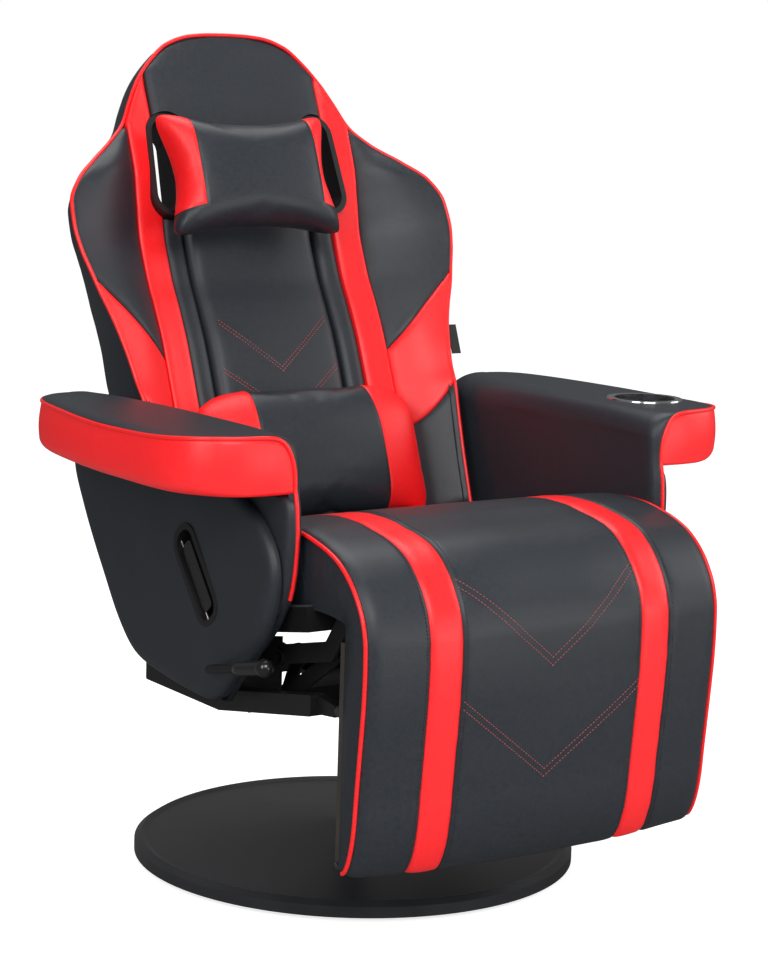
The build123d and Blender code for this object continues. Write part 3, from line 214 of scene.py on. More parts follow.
leather_grain, sizes, where = new_group(
    "leather_grain", {"Pore Scale": 900.0, "Crease Scale": 14.0, "Crease Amount": 0.4})
pores = add_node(leather_grain, "ShaderNodeTexVoronoi", {"feature": "SMOOTH_F1"},
                 {"Vector": where, "Scale": sizes["Pore Scale"], "Smoothness": 0.35})
swell_scale = maths(leather_grain, "MULTIPLY", sizes["Pore Scale"], 0.22)
swell = add_node(leather_grain, "ShaderNodeTexNoise",
                 values={"Vector": where, "Scale": swell_scale, "Detail": 3.0})
creases = add_node(leather_grain, "ShaderNodeTexNoise",
                   values={"Vector": where, "Scale": sizes["Crease Scale"], "Detail": 4.0, "Roughness": 0.45,
                           "Distortion": 0.6})
folded = maths(leather_grain, "ABSOLUTE", maths(leather_grain, "SUBTRACT", creases.outputs["Fac"], 0.5))
fold_height = maths(leather_grain, "MULTIPLY", maths(leather_grain, "SMOOTH_MIN", folded, 0.08),
                    sizes["Crease Amount"])
fine = maths(leather_grain, "ADD", maths(leather_grain, "MULTIPLY", pores.outputs["Distance"], 0.06),
             maths(leather_grain, "MULTIPLY", swell.outputs["Fac"], 0.05))
close_group(leather_grain, maths(leather_grain, "ADD", fine, fold_height), swell.outputs["Fac"])

fine_texture, sizes, where = new_group("fine_texture", {"Scale": 600.0})
speck = add_node(fine_texture, "ShaderNodeTexNoise",
                 values={"Vector": where, "Scale": sizes["Scale"], "Detail": 2.0})
blotch = add_node(fine_texture, "ShaderNodeTexNoise", values={"Vector": where, "Scale": 18.0})
close_group(fine_texture, speck.outputs["Fac"], blotch.outputs["Fac"])
print("shader groups", leather_grain.name, "and", fine_texture.name)


# %% Materials
def colour_between(tree, share, first, second):
    """A colour that goes from one to another with a share; both are sockets or (r, g, b)."""
    first, second = (v if isinstance(v, bpy.types.NodeSocket) else (*v, 1) for v in (first, second))
    mix = add_node(tree, "ShaderNodeMix", {"data_type": "RGBA"}, {"Factor": share, "A": first, "B": second})
    return mix.outputs["Result"]


def textured(name, group, sizes, gloss, bump, depth, colour, relief=None, **more):
    """A material led by a group. colour makes a colour of its mask, and relief changes its height."""
    material = bpy.data.materials.new(name)
    tree = emptied(material)
    texture = add_node(tree, "ShaderNodeGroup", {"node_tree": group}, sizes)
    mask, height = texture.outputs["Mask"], texture.outputs["Height"]
    if relief:
        height = relief(tree, height)
    shine = add_node(tree, "ShaderNodeMapRange",
                     values={"Value": mask, "To Min": gloss[0], "To Max": gloss[1]})
    dents = add_node(tree, "ShaderNodeBump", values={"Strength": bump, "Distance": depth, "Height": height})
    shader = add_node(tree, "ShaderNodeBsdfPrincipled",
                      values={"Base Color": colour(tree, mask), "Roughness": shine.outputs["Result"],
                              "Normal": dents.outputs["Normal"], **more})
    add_node(tree, "ShaderNodeOutputMaterial", values={"Surface": shader.outputs["BSDF"]})
    return material


def leather(name, tones, gloss, crease=0.4, bump=0.35):
    """Grained synthetic leather."""
    return textured(name, leather_grain, {"Crease Amount": crease}, gloss, bump, 0.004,
                    lambda tree, mask: colour_between(tree, mask, *tones))


def hard_finish(name, tones, gloss, scale, bump, metallic=0.0, coat=0.0):
    """Paint, plate, moulded plastic, wood or cloth with a faint texture."""
    return textured(name, fine_texture, {"Scale": scale}, gloss, bump, 0.0006,
                    lambda tree, mask: colour_between(tree, mask, *tones),
                    **{"Metallic": metallic, "Coat Weight": coat})


black_tones = ((0.013, 0.016, 0.021), (0.023, 0.028, 0.036))
red_tones = ((0.88, 0.006, 0.009), (0.98, 0.013, 0.017))
piping_tones = ((0.82, 0.006, 0.009), (0.94, 0.012, 0.015))
black_leather = leather("black_leather", black_tones, (0.37, 0.52))
red_leather = leather("red_leather", red_tones, (0.32, 0.46), crease=0.25)
red_piping = leather("red_piping", piping_tones, (0.28, 0.40), crease=0.0, bump=0.15)
powder_coat = hard_finish("powder_coat", ((0.005, 0.005, 0.006), (0.010, 0.010, 0.011)),
                          (0.36, 0.50), 900.0, 0.2)
base_paint = hard_finish("base_paint", ((0.018, 0.019, 0.021), (0.028, 0.029, 0.032)),
                         (0.26, 0.36), 700.0, 0.12)
zinc_plate = hard_finish("zinc_plate", ((0.52, 0.52, 0.50), (0.66, 0.66, 0.64)),
                         (0.25, 0.40), 300.0, 0.1, metallic=1.0)
black_plastic = hard_finish("black_plastic", ((0.006, 0.006, 0.007), (0.011, 0.011, 0.012)),
                            (0.42, 0.56), 1200.0, 0.25)
gloss_plastic = hard_finish("gloss_plastic", ((0.006, 0.006, 0.007), (0.010, 0.010, 0.011)),
                            (0.18, 0.26), 200.0, 0.02, coat=0.3)
bright_metal = hard_finish("bright_metal", ((0.72, 0.72, 0.74), (0.82, 0.82, 0.84)),
                           (0.10, 0.18), 200.0, 0.02, metallic=1.0)
black_rubber = hard_finish("black_rubber", ((0.018, 0.018, 0.018), (0.030, 0.030, 0.030)),
                           (0.70, 0.85), 800.0, 0.2)
woven_band = hard_finish("woven_band", ((0.020, 0.020, 0.020), (0.045, 0.045, 0.045)),
                         (0.75, 0.90), 1500.0, 0.4)
plywood = hard_finish("plywood", ((0.030, 0.026, 0.022), (0.050, 0.042, 0.034)), (0.60, 0.75), 120.0, 0.2)
tag_cloth = hard_finish("tag_cloth", ((0.012, 0.012, 0.012), (0.030, 0.028, 0.028)),
                        (0.80, 0.92), 1500.0, 0.4)
red_thread = hard_finish("red_thread", ((0.34, 0.060, 0.060), (0.46, 0.100, 0.100)),
                         (0.55, 0.70), 2500.0, 0.3)
black_thread = hard_finish("black_thread", ((0.010, 0.010, 0.011), (0.030, 0.030, 0.032)),
                           (0.55, 0.70), 2500.0, 0.3)
print(len(bpy.data.materials), "materials")

# %% Hard pieces
hard_nodes = [
    (base_paint, "base_cover"),
    (powder_coat, "base_plate swivel_post swivel_hub cross_tubes torque_tube back_frame lever_rod "
                  "seat_rail_front seat_rail_rear seat_rail_left seat_rail_right stop_bars back_brackets "
                  "seat_ears side_plate_left side_plate_right side_rail_left side_rail_right "
                  "footrest_bracket_left footrest_bracket_right coupling_link_left coupling_link_right"),
    (zinc_plate, "flange_bolts swivel_bolt paddle_pin footrest_pins link_pins back_pins"),
    (black_plastic, "thrust_washer handle_bezel slot_rims"),
    (gloss_plastic, "release_paddle lever_grip"),
    (black_rubber, "floor_glides stop_bumpers"),
    (bright_metal, "cup_holder"),
    (woven_band, "seat_webbing"),
    (plywood, "leg_board"),
    (tag_cloth, "side_tag"),
    (black_leather, "back_shell"),
]
for finish, names in hard_nodes:
    for name in names.split():
        nodes[name].data.materials.clear()
        nodes[name].data.materials.append(finish)
print("finished", sum(len(names.split()) for _, names in hard_nodes), "hard pieces of", len(nodes))

# %% [markdown]
# ## A way to sew a padded panel
#
# A sewn panel is a sheet whose edge is pulled down to a seam and whose middle stands up on its foam. So a
# panel here starts as a grid of points on the outermost surface. The distance of each point from the four
# sides then says how far it sinks: the last few millimetres roll down like a quarter circle. A second grid
# underneath closes the panel, so it has thickness, and light never shows through.


# %% Lines and grids
def smooth_line(places, values, at):
    """Read a table of places and values along a curve with no overshoot."""
    places, values, at = (np.asarray(v, float) for v in (places, values, at))
    gap = np.diff(places)
    rise = np.diff(values) / gap
    slope = np.zeros(len(places))
    slope[0], slope[-1] = rise[0], rise[-1]
    for i in range(1, len(places) - 1):
        if rise[i - 1] * rise[i] > 0:
            near, far = 2 * gap[i] + gap[i - 1], gap[i] + 2 * gap[i - 1]
            slope[i] = (near + far) / (near / rise[i - 1] + far / rise[i])
    at = np.clip(at, places[0], places[-1])
    i = np.clip(np.searchsorted(places, at, side="right") - 1, 0, len(gap) - 1)
    t = (at - places[i]) / gap[i]
    return ((2 * t**3 - 3 * t**2 + 1) * values[i] + (t**3 - 2 * t**2 + t) * gap[i] * slope[i]
            + (3 * t**2 - 2 * t**3) * values[i + 1] + (t**3 - t**2) * gap[i] * slope[i + 1])


def run_along(points):
    """Distance of each point of a line from its start."""
    return np.concatenate([[0], np.cumsum(np.linalg.norm(np.diff(points, axis=0), axis=1))])


def crowded(count, amount=0.75):
    """Shares from 0 to 1 that crowd towards both ends."""
    even = np.linspace(0, 1, count)
    return even * (1 - amount) + (0.5 - 0.5 * np.cos(np.pi * even)) * amount


def rolled(distance, radius):
    """0 at a seam and 1 from a roll's radius inwards, like a quarter circle."""
    share = np.clip(distance / max(radius, 1e-9), 0, 1)
    return np.sqrt(np.maximum(1 - (1 - share) ** 2, 0))


def wander(points, size, seed):
    """Smooth noise at points, about -1 to 1."""
    shift = Vector((seed * 7.3, seed * 3.1, seed * 5.7))
    found = [noise.noise(Vector(p) / size + shift) for p in points.reshape(-1, 3)]
    return np.array(found).reshape(points.shape[:-1])


def normals_of(grid):
    """Unit normals of a grid of points, along the cross product of its two directions."""
    normal = np.cross(np.gradient(grid, axis=0), np.gradient(grid, axis=1))
    return normal / np.maximum(np.linalg.norm(normal, axis=2, keepdims=True), 1e-12)


def outward(grid, direction):
    """Flip a grid's second axis if its normals point away from a direction."""
    middle = normals_of(grid)[grid.shape[0] // 2, grid.shape[1] // 2]
    return grid if middle @ np.asarray(direction) > 0 else grid[:, ::-1]


def arc_lengths(grid, axis):
    """Distance along each line of a grid, from its start."""
    step = np.linalg.norm(np.diff(grid, axis=axis), axis=2)
    pad = [(0, 0), (0, 0)]
    pad[axis] = (1, 0)
    return np.pad(np.cumsum(step, axis=axis), pad)


def seam_drop(grid, drops, radii):
    """How far each point sinks towards the seams at its sides, and its distance from the nearest one."""
    u, v = arc_lengths(grid, 0), arc_lengths(grid, 1)
    sides = [u, u[-1:, :] - u, v, v[:, -1:] - v]
    deepest = max(max(drops), 1e-9)
    kept = np.ones(grid.shape[:2])
    nearest = np.full(grid.shape[:2], 1e9)
    for distance, drop, radius in zip(sides, drops, radii):
        if drop > 0:
            kept = kept * (1 - drop / deepest * (1 - rolled(distance, radius)))
            nearest = np.minimum(nearest, distance)
    return deepest * (1 - kept), nearest


def sewn(grid, way, drops, radii, pucker, swell, seed):
    """A grid sunk to its seams, with puckers along them and a slow swell between, all given in mm."""
    drop, nearest = seam_drop(grid, [d * MM for d in drops], [r * MM for r in radii])
    out = -drop
    if pucker > 0:
        waves = wander(grid, 0.012, seed) * np.exp(-nearest / 0.012) * (1 - np.exp(-nearest / 0.002))
        out = out + pucker * MM * waves
    out = out + swell * MM * wander(grid, 0.09, seed + 5) * np.clip(nearest / 0.02, 0, 1)
    return grid + way * out[..., None]


def ring_faces(rings, count):
    """Faces between closed rings of points, each ring after the one before."""
    faces = []
    for first in range(0, (rings - 1) * count, count):
        for j in range(count):
            k = (j + 1) % count
            faces.append((first + j, first + count + j, first + count + k, first + k))
    return faces


def closed_faces(rows, columns):
    """Faces of a front grid and a back grid of the same size, with a wall round the rim."""
    faces, count = [], rows * columns
    front = np.arange(count).reshape(rows, columns)
    back = front + count
    for i in range(rows - 1):
        for j in range(columns - 1):
            faces.append((front[i, j], front[i + 1, j], front[i + 1, j + 1], front[i, j + 1]))
            faces.append((back[i, j], back[i, j + 1], back[i + 1, j + 1], back[i + 1, j]))
    loop = ([(i, 0) for i in range(rows)] + [(rows - 1, j) for j in range(1, columns)]
            + [(i, columns - 1) for i in range(rows - 2, -1, -1)]
            + [(0, j) for j in range(columns - 2, 0, -1)])
    for (a, b), (c, d) in zip(loop, loop[1:] + loop[:1]):
        faces.append((front[a, b], back[a, b], back[c, d], front[c, d]))
    return [tuple(int(n) for n in face) for face in faces]


# %% Pieces
def worked(mesh, change):
    """Change a mesh through bmesh."""
    work = bmesh.new()
    work.from_mesh(mesh)
    change(work)
    work.to_mesh(mesh)
    work.free()


def applied(thing):
    """The mesh that a piece has with its modifiers, which are then taken off."""
    made = bpy.data.meshes.new_from_object(thing.evaluated_get(bpy.context.evaluated_depsgraph_get()))
    thing.modifiers.clear()
    return made


def shade_smooth(mesh):
    """Smooth shading, with edges over 50 degrees kept sharp."""
    mesh.polygons.foreach_set("use_smooth", [True] * len(mesh.polygons))
    mesh.set_sharp_from_angle(angle=math.radians(50))
    mesh.update()


class Cover:
    """Collects sheets and solids, each with a material, and joins them into one piece."""

    def __init__(self, name):
        self.name, self.points, self.faces, self.marks, self.materials = name, [], [], [], []
        self.count = 0

    def add(self, points, faces, materials):
        """Points and faces, with one material for all of them or one for each face."""
        if not isinstance(materials, list):
            materials = [materials] * len(faces)
        for material in materials:
            if material not in self.materials:
                self.materials.append(material)
        points = np.asarray(points, float).reshape(-1, 3)
        self.points.append(points)
        self.faces += [tuple(n + self.count for n in face) for face in faces]
        self.marks += [self.materials.index(material) for material in materials]
        self.count += len(points)

    def sheet(self, front, back, material):
        """A closed sheet between two grids."""
        points = np.concatenate([front.reshape(-1, 3), back.reshape(-1, 3)])
        self.add(points, closed_faces(*front.shape[:2]), material)

    def build(self):
        """Make the object, weld it, point its faces outwards and smooth it."""
        def clean(work):
            bmesh.ops.remove_doubles(work, verts=work.verts, dist=1e-6)
            bmesh.ops.dissolve_degenerate(work, edges=work.edges, dist=1e-7)
            bmesh.ops.recalc_face_normals(work, faces=work.faces)

        thing = plain_mesh(self.name, np.concatenate(self.points), self.faces)
        for material in self.materials:
            thing.data.materials.append(material)
        thing.data.polygons.foreach_set("material_index", self.marks)
        worked(thing.data, clean)
        shade_smooth(thing.data)
        print(self.name, len(thing.data.polygons), "faces")
        return thing


def prism(name, near, far):
    """A closed cutter between two rings of points."""
    count = len(near)
    faces = [tuple(range(count))[::-1], tuple(range(count, 2 * count))]
    faces += [(i, (i + 1) % count, count + (i + 1) % count, count + i) for i in range(count)]
    cutter = plain_mesh(name, np.concatenate([near, far]), faces)
    worked(cutter.data, lambda work: bmesh.ops.recalc_face_normals(work, faces=work.faces))
    return cutter


def rounded_bar(radius, run, tilt, centre, count=48):
    """The outline of a tilted bar with round ends, or a circle where the run is 0."""
    angle = np.linspace(0, 2 * math.pi, count, endpoint=False)
    over = radius * np.cos(angle)
    along = radius * np.sin(angle) + np.where(np.sin(angle) >= 0, run, -run)
    turn = math.radians(tilt)
    return (over * math.cos(turn) - along * math.sin(turn) + centre[0],
            over * math.sin(turn) + along * math.cos(turn) + centre[1])


def carve(thing, cutters):
    """Cut shapes out of a piece. A skin that folds over itself, and so loses most faces, is cut again."""
    for folded in (False, True):
        for cutter in cutters:
            modifier = thing.modifiers.new("carve", "BOOLEAN")
            modifier.operation = "DIFFERENCE"
            modifier.solver = "EXACT"
            modifier.use_self = folded
            modifier.object = cutter
        made = applied(thing)
        print(thing.name, "cut", len(thing.data.polygons), "to", len(made.polygons), "faces")
        if len(made.polygons) > 0.6 * len(thing.data.polygons):
            break
    thing.data = made
    made.name = thing.name
    made.set_sharp_from_angle(angle=math.radians(50))
    return thing


def dress(thing, body, replaces=()):
    """Set a piece on its body and hide the CAD nodes it stands for."""
    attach(thing, body)
    if replaces:
        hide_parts(*replaces)
    return thing


# %% [markdown]
# ## Piping and stitches
#
# Piping is a cord in a strip of leather, sewn into an edge. A Geometry Nodes tree sweeps a round profile
# along a line of points. A second tree lays a thread along a line: it resamples the line by the stitch's
# pitch and sets a long bead on each point, turned along the line.


# %% Geometry Nodes trees
def new_tree(name, inputs):
    """A Geometry Nodes tree that takes a line, the named sizes and a material."""
    tree = bpy.data.node_groups.new(name, "GeometryNodeTree")
    tree.interface.new_socket("Geometry", in_out="INPUT", socket_type="NodeSocketGeometry")
    ids = {}
    for socket, value in inputs.items():
        made = tree.interface.new_socket(socket, in_out="INPUT", socket_type="NodeSocketFloat")
        made.default_value = value
        ids[socket] = made.identifier
    made = tree.interface.new_socket("Material", in_out="INPUT", socket_type="NodeSocketMaterial")
    ids["Material"] = made.identifier
    tree.interface.new_socket("Geometry", in_out="OUTPUT", socket_type="NodeSocketGeometry")
    given = tree.nodes.new("NodeGroupInput").outputs
    line = add_node(tree, "GeometryNodeMeshToCurve", values={"Mesh": given["Geometry"]})
    return tree, ids, given, line.outputs["Curve"]


piping_tree, piping_ids, given, line = new_tree("piping", {"Radius": 0.003})
ring = add_node(piping_tree, "GeometryNodeCurvePrimitiveCircle",
                values={"Resolution": 10, "Radius": given["Radius"]})
sweep = add_node(piping_tree, "GeometryNodeCurveToMesh",
                 values={"Curve": line, "Profile Curve": ring.outputs["Curve"], "Fill Caps": True})
smooth = add_node(piping_tree, "GeometryNodeSetShadeSmooth", values={"Geometry": sweep.outputs["Mesh"]})
real = add_node(piping_tree, "GeometryNodeRealizeInstances", values={"Geometry": smooth.outputs["Geometry"]})
paint = add_node(piping_tree, "GeometryNodeSetMaterial",
                 values={"Geometry": real.outputs["Geometry"], "Material": given["Material"]})
add_node(piping_tree, "NodeGroupOutput", values={"Geometry": paint.outputs["Geometry"]})

stitch_sizes = {"Pitch": 0.0046, "Length": 0.0034, "Width": 0.0010}
stitch_tree, stitch_ids, given, line = new_tree("stitches", stitch_sizes)
spaced = add_node(stitch_tree, "GeometryNodeResampleCurve", {"mode": "LENGTH"},
                  {"Curve": line, "Length": given["Pitch"]})
bead = add_node(stitch_tree, "GeometryNodeMeshUVSphere", values={"Segments": 6, "Rings": 5, "Radius": 0.5})
size = add_node(stitch_tree, "ShaderNodeCombineXYZ",
                values={"X": given["Length"], "Y": given["Width"], "Z": given["Width"]})
tangent = add_node(stitch_tree, "GeometryNodeInputTangent")
turn = add_node(stitch_tree, "FunctionNodeAlignRotationToVector", {"axis": "X"},
                {"Vector": tangent.outputs["Tangent"]})
lay = add_node(stitch_tree, "GeometryNodeInstanceOnPoints",
               values={"Points": spaced.outputs["Curve"], "Instance": bead.outputs["Mesh"],
                       "Rotation": turn.outputs["Rotation"], "Scale": size.outputs["Vector"]})
real = add_node(stitch_tree, "GeometryNodeRealizeInstances", values={"Geometry": lay.outputs["Instances"]})
smooth = add_node(stitch_tree, "GeometryNodeSetShadeSmooth", values={"Geometry": real.outputs["Geometry"]})
paint = add_node(stitch_tree, "GeometryNodeSetMaterial",
                 values={"Geometry": smooth.outputs["Geometry"], "Material": given["Material"]})
add_node(stitch_tree, "NodeGroupOutput", values={"Geometry": paint.outputs["Geometry"]})


def grown(name, lines, tree, ids, values):
    """Run a tree on polylines and keep the result as a plain mesh object."""
    points, edges = [], []
    for line_points in lines:
        first = len(points)
        points += [tuple(p) for p in line_points]
        edges += [(n, n + 1) for n in range(first, len(points) - 1)]
    mesh = bpy.data.meshes.new(name + "_line")
    mesh.from_pydata(points, edges, [])
    carrier = bpy.data.objects.new(name + "_line", mesh)
    scene.collection.objects.link(carrier)
    modifier = carrier.modifiers.new("grow", "NODES")
    modifier.node_group = tree
    for socket, value in values.items():
        modifier[ids[socket]] = value
    made = applied(carrier)
    bpy.data.objects.remove(carrier)
    made.name = name
    thing = bpy.data.objects.new(name, made)
    scene.collection.objects.link(thing)
    print(name, len(made.polygons), "faces")
    return thing


def piping(name, lines):
    """Red piping along one or more lines."""
    return grown(name, lines, piping_tree, piping_ids, {"Radius": 0.0026, "Material": red_piping})


def stitches(name, lines, material=black_thread, width=0.0010):
    """A row of stitches along one or more lines."""
    return grown(name, lines, stitch_tree, stitch_ids,
                 {**stitch_sizes, "Width": width, "Material": material})

# %% [markdown]
# ## Seat, knee and leg pad
#
# On the real chair one cover runs from under the lumbar pillow over the seat's front and down the leg pad.
# Two red bands run along it, and piping closes its sides. It is modelled as a profile in the side view, a
# ring of points at each station along it, and three pieces cut from that one surface: the seat, set on the
# chassis, the leg pad, set on the footrest, and the knee between them.

# %% The side profile: (y, z) of the cover's edge, and of the inner line opposite each point
cover_edge = np.array([
    (118, 417), (60, 432.5), (0, 450.5), (-60, 467.5), (-120, 482.5), (-160, 491.8), (-195, 498.2),
    (-225, 500.8), (-255.5, 500.2), (-301.3, 492.5), (-338.9, 480.2), (-367.5, 460.5), (-387.5, 437.3),
    (-400.9, 411), (-406.6, 383.2), (-407.3, 354.2), (-406.6, 324.9), (-404.5, 294.5), (-401.8, 264.6),
    (-399, 233.8), (-396.2, 203.6), (-393.8, 173.3), (-388.3, 141.7), (-372.4, 109.1), (-356.0, 103.0),
]) * MM
cover_inner = np.array([
    (99, 341), (41, 352), (-19, 363.4), (-79, 375), (-139, 386.4), (-179, 394), (-214, 400.4), (-244, 404),
    (-273, 405), (-300, 406), (-322, 405), (-338, 403), (-346, 401), (-347.4, 398.8),
    (-347.4, 383.2), (-347.4, 354.2), (-347.4, 324.9), (-347.4, 294.5), (-347.4, 264.6), (-347.4, 233.8),
    (-347.4, 203.6), (-347.4, 173.3), (-347.4, 141.7), (-347.4, 116), (-347.4, 112.0),
]) * MM
cover_places = run_along(cover_edge)
cover_length = cover_places[-1]
seat_front_y, knee_low_z = -0.262, 0.3984
seat_end = np.interp(-seat_front_y, -cover_edge[:9, 0], cover_places[:9])
knee_end = np.interp(-knee_low_z, -cover_edge[10:16, 1], cover_places[10:16])
cover_half = 0.2585
cover_inset = 0.006
crown_places = np.array([0.0, 0.09, 0.18, 0.30, 0.40, 0.50, cover_length])
crown_rise = np.array([6.5, 6.5, 6.0, 2.5, 2.5, 11.5, 11.5]) * MM
band_inner, band_outer = 0.133, 0.177
seam_x = [-cover_half, -band_outer, -band_inner, band_inner, band_outer, cover_half]
band_colours = [black_leather, red_leather, black_leather, red_leather, black_leather]
print("cover", round(cover_length, 3), "seat to", round(seat_end, 3), "knee to", round(knee_end, 3))


def cover_at(place):
    """(y, z) of the cover's side edge at a distance along it, its outward normal and its inner line."""
    def line(table, shift=0.0):
        return [smooth_line(cover_places, table[:, n], place + shift) for n in (0, 1)]

    dy, dz = (after - before for after, before in zip(line(cover_edge, 0.002), line(cover_edge, -0.002)))
    size = np.maximum(np.hypot(dy, dz), 1e-9)
    normal = np.stack([dz / size, -dy / size], axis=-1)
    return np.stack(line(cover_edge), axis=-1), normal, np.stack(line(cover_inner), axis=-1)


# Places across the cover, crowded at its seams, and the colour of each gap between them
columns, column_colours = [], []
for low, high, count, colour in zip(seam_x, seam_x[1:], (16, 10, 34, 10, 16), band_colours):
    columns += list((low + (high - low) * crowded(count + 1, 0.85))[:-1])
    column_colours += [colour] * count
columns = np.array(columns + [cover_half])


def cover_height(x, place):
    """How far the cover stands out of its side edge: crown, less the dip at each seam, edge and end."""
    crown = smooth_line(crown_places, crown_rise, place) * (1 - (np.abs(x) / cover_half) ** 2.2)
    dip = np.zeros_like(x)
    for seam in seam_x[1:-1]:
        dip = np.maximum(dip, 0.0032 * (1 - rolled(np.abs(x - seam), 0.011)))
    edge = 0.0085 * (1 - rolled(cover_half - np.abs(x), 0.017))
    end = 0.012 * (1 - rolled(cover_length - place, 0.02)) + 0.02 * (1 - rolled(place, 0.03))
    return crown - dip - edge - end


def cover_point(x, place, lift=0.0):
    """Points of the cover's top surface, in metres."""
    x, place = np.broadcast_arrays(np.asarray(x, float), np.asarray(place, float))
    edge, normal, _ = cover_at(place)
    rise = cover_height(x, place) + lift
    return np.stack([x, edge[..., 0] + normal[..., 0] * rise, edge[..., 1] + normal[..., 1] * rise], axis=-1)


def slow_swell(points):
    """The cover's slow swell, which the chevrons follow too."""
    return wander(points, 0.10, 8) * 0.0016


# %% Rings of the cover
def cover_top(places):
    """The top surface with its slow swell and the puckers along its seams."""
    grid = cover_point(columns[None, :], places[:, None])
    normal = normals_of(grid)
    if normal[len(places) // 2, len(columns) // 2] @ np.array([0, -0.7, 0.7]) < 0:
        normal = -normal
    away = np.min([np.abs(columns - seam) for seam in seam_x], axis=0)[None, :]
    waves = wander(grid, 0.014, 3) * np.exp(-away / 0.012) * 0.0006
    return grid + normal * (waves + slow_swell(grid) * np.clip(away / 0.02, 0, 1))[..., None]


def cover_wall(side, top, inner, shares, bulge):
    """A side of the cover, from its top edge down to its inner line, with a slight bulge."""
    edge = top[:, -1] if side > 0 else top[:, 0]
    low = np.column_stack([np.full(len(top), side * (cover_half - cover_inset)), inner])
    wall = edge[:, None] + (low - edge)[:, None] * shares[None, :, None]
    wall[..., 0] += side * bulge * np.sin(np.pi * shares)
    return wall


def cover_ring(name, start, stop, rows):
    """A closed solid of the cover between two places along it."""
    places = np.linspace(start, stop, rows)
    top, inner = cover_top(places), cover_at(places)[2]
    shares = np.linspace(0, 1, 10)[1:]
    under_x = (cover_half - cover_inset) * np.linspace(1, -1, 12)[1:-1]
    under_lines = (under_x, inner[:, :1], inner[:, 1:])
    under = np.stack([np.broadcast_to(line, (rows, len(under_x))) for line in under_lines], axis=-1)
    rings = np.concatenate([top, cover_wall(1, top, inner, shares, 0.0045), under,
                            cover_wall(-1, top, inner, shares[::-1], 0.0045)], axis=1)
    count = rings.shape[1]
    caps = [tuple(range(count)), tuple(reversed(range((rows - 1) * count, rows * count)))]
    round_colours = column_colours + [black_leather] * (count - len(column_colours))
    piece = Cover(name)
    piece.add(rings, ring_faces(rows, count) + caps, round_colours * (rows - 1) + [black_leather] * 2)
    return piece.build()


dress(cover_ring("seat_cover", 0.0, seat_end, 90), "chassis", ["seat_cushion"])
dress(cover_ring("leg_cover", knee_end, cover_length, 90), "footrest", ["leg_pad"])

# %% The knee: a sheet and two walls, all thin
knee_places = np.linspace(seat_end, knee_end, 44)
knee_top = cover_top(knee_places)
knee_inner = cover_at(knee_places)[2]
knee_normal = normals_of(knee_top)
if knee_normal[20, 40] @ np.array([0, -0.7, 0.7]) < 0:
    knee_normal = -knee_normal
knee_back = knee_top - knee_normal * 0.012
rows, count = knee_top.shape[:2]
knee_faces = closed_faces(rows, count)
knee_colours = []
for face in knee_faces:
    spots = [n % (rows * count) % count for n in face]
    flat = max(spots) - min(spots) == 1
    knee_colours.append(column_colours[min(spots)] if flat else black_leather)
knee = Cover("knee_cover_sewn")
knee.add(np.concatenate([knee_top.reshape(-1, 3), knee_back.reshape(-1, 3)]), knee_faces, knee_colours)
for side in (1, -1):
    wall = cover_wall(side, knee_top, knee_inner, np.linspace(0, 1, 12), 0.004)
    knee.sheet(wall, wall - np.array([side * 0.008, 0, 0]), black_leather)
knee_ends = (cover_at(np.array([place]))[0][0] for place in (seat_end, knee_end))
knee_start, knee_stop = ((0.0, float(y), float(z)) for y, z in knee_ends)


def ride_or_bend(thing, body):
    """Set a piece of the cover on its body; a knee piece instead has its placement baked into its points."""
    if body == "knee":
        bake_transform(thing)
    else:
        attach(thing, body)


knee_cover = knee.build()
ride_or_bend(knee_cover, "knee")
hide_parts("knee_cover")

# %% Piping, seams and chevrons of the cover
piping_out, piping_sink = 0.0015, 0.006
for name, body, start, stop, count in (("seat_piping", "chassis", 0.03, seat_end, 60),
                                       ("knee_piping", "knee", seat_end, knee_end, 40),
                                       ("leg_piping", "footrest", knee_end, cover_length - 0.012, 80)):
    edge, normal, _ = cover_at(np.linspace(start, stop, count))
    lines = [np.column_stack([np.full(count, side * (cover_half + piping_out)), edge - normal * piping_sink])
             for side in (1, -1)]
    ride_or_bend(piping(name, lines), body)

stitch_away = 0.0055
outer_x, inner_x = band_outer + stitch_away, band_inner - stitch_away
for name, body, start, stop in (("seat_stitches", "chassis", 0.03, seat_end),
                                ("knee_stitches", "knee", seat_end, knee_end),
                                ("leg_stitches", "footrest", knee_end, cover_length - 0.03)):
    spots = np.linspace(start, stop, 80)
    lines = [cover_point(x, spots, lift=0.0002) for x in (-outer_x, -inner_x, inner_x, outer_x)]
    ride_or_bend(stitches(name, lines), body)


def place_at_height(z):
    """Distance along the cover at which the leg pad's edge has a height in mm."""
    return float(np.interp(-z * MM, -cover_edge[8:, 1], cover_places[8:]))


chevron_half, chevron_tip_x, chevron_gap = 0.129, -0.005, 0.0048
chevron_lines = {"knee": [], "footrest": []}
for top_height, tip_height in ((441, 348), (307, 212)):
    start, stop = place_at_height(top_height), place_at_height(tip_height)
    for gap in (-chevron_gap, chevron_gap):
        for side in (1, -1):
            shares = np.linspace(0, 1, 60)
            x = side * chevron_half * (1 - shares) + chevron_tip_x * shares
            spots = start + (stop - start) * shares + gap
            for body, here in (("knee", spots < knee_end), ("footrest", spots >= knee_end)):
                if here.sum() > 2:
                    lift = slow_swell(cover_point(x[here], spots[here])) + 0.0003
                    chevron_lines[body].append(cover_point(x[here], spots[here], lift=lift))
for body, lines in chevron_lines.items():
    ride_or_bend(stitches(body + "_chevrons", lines, material=red_thread), body)

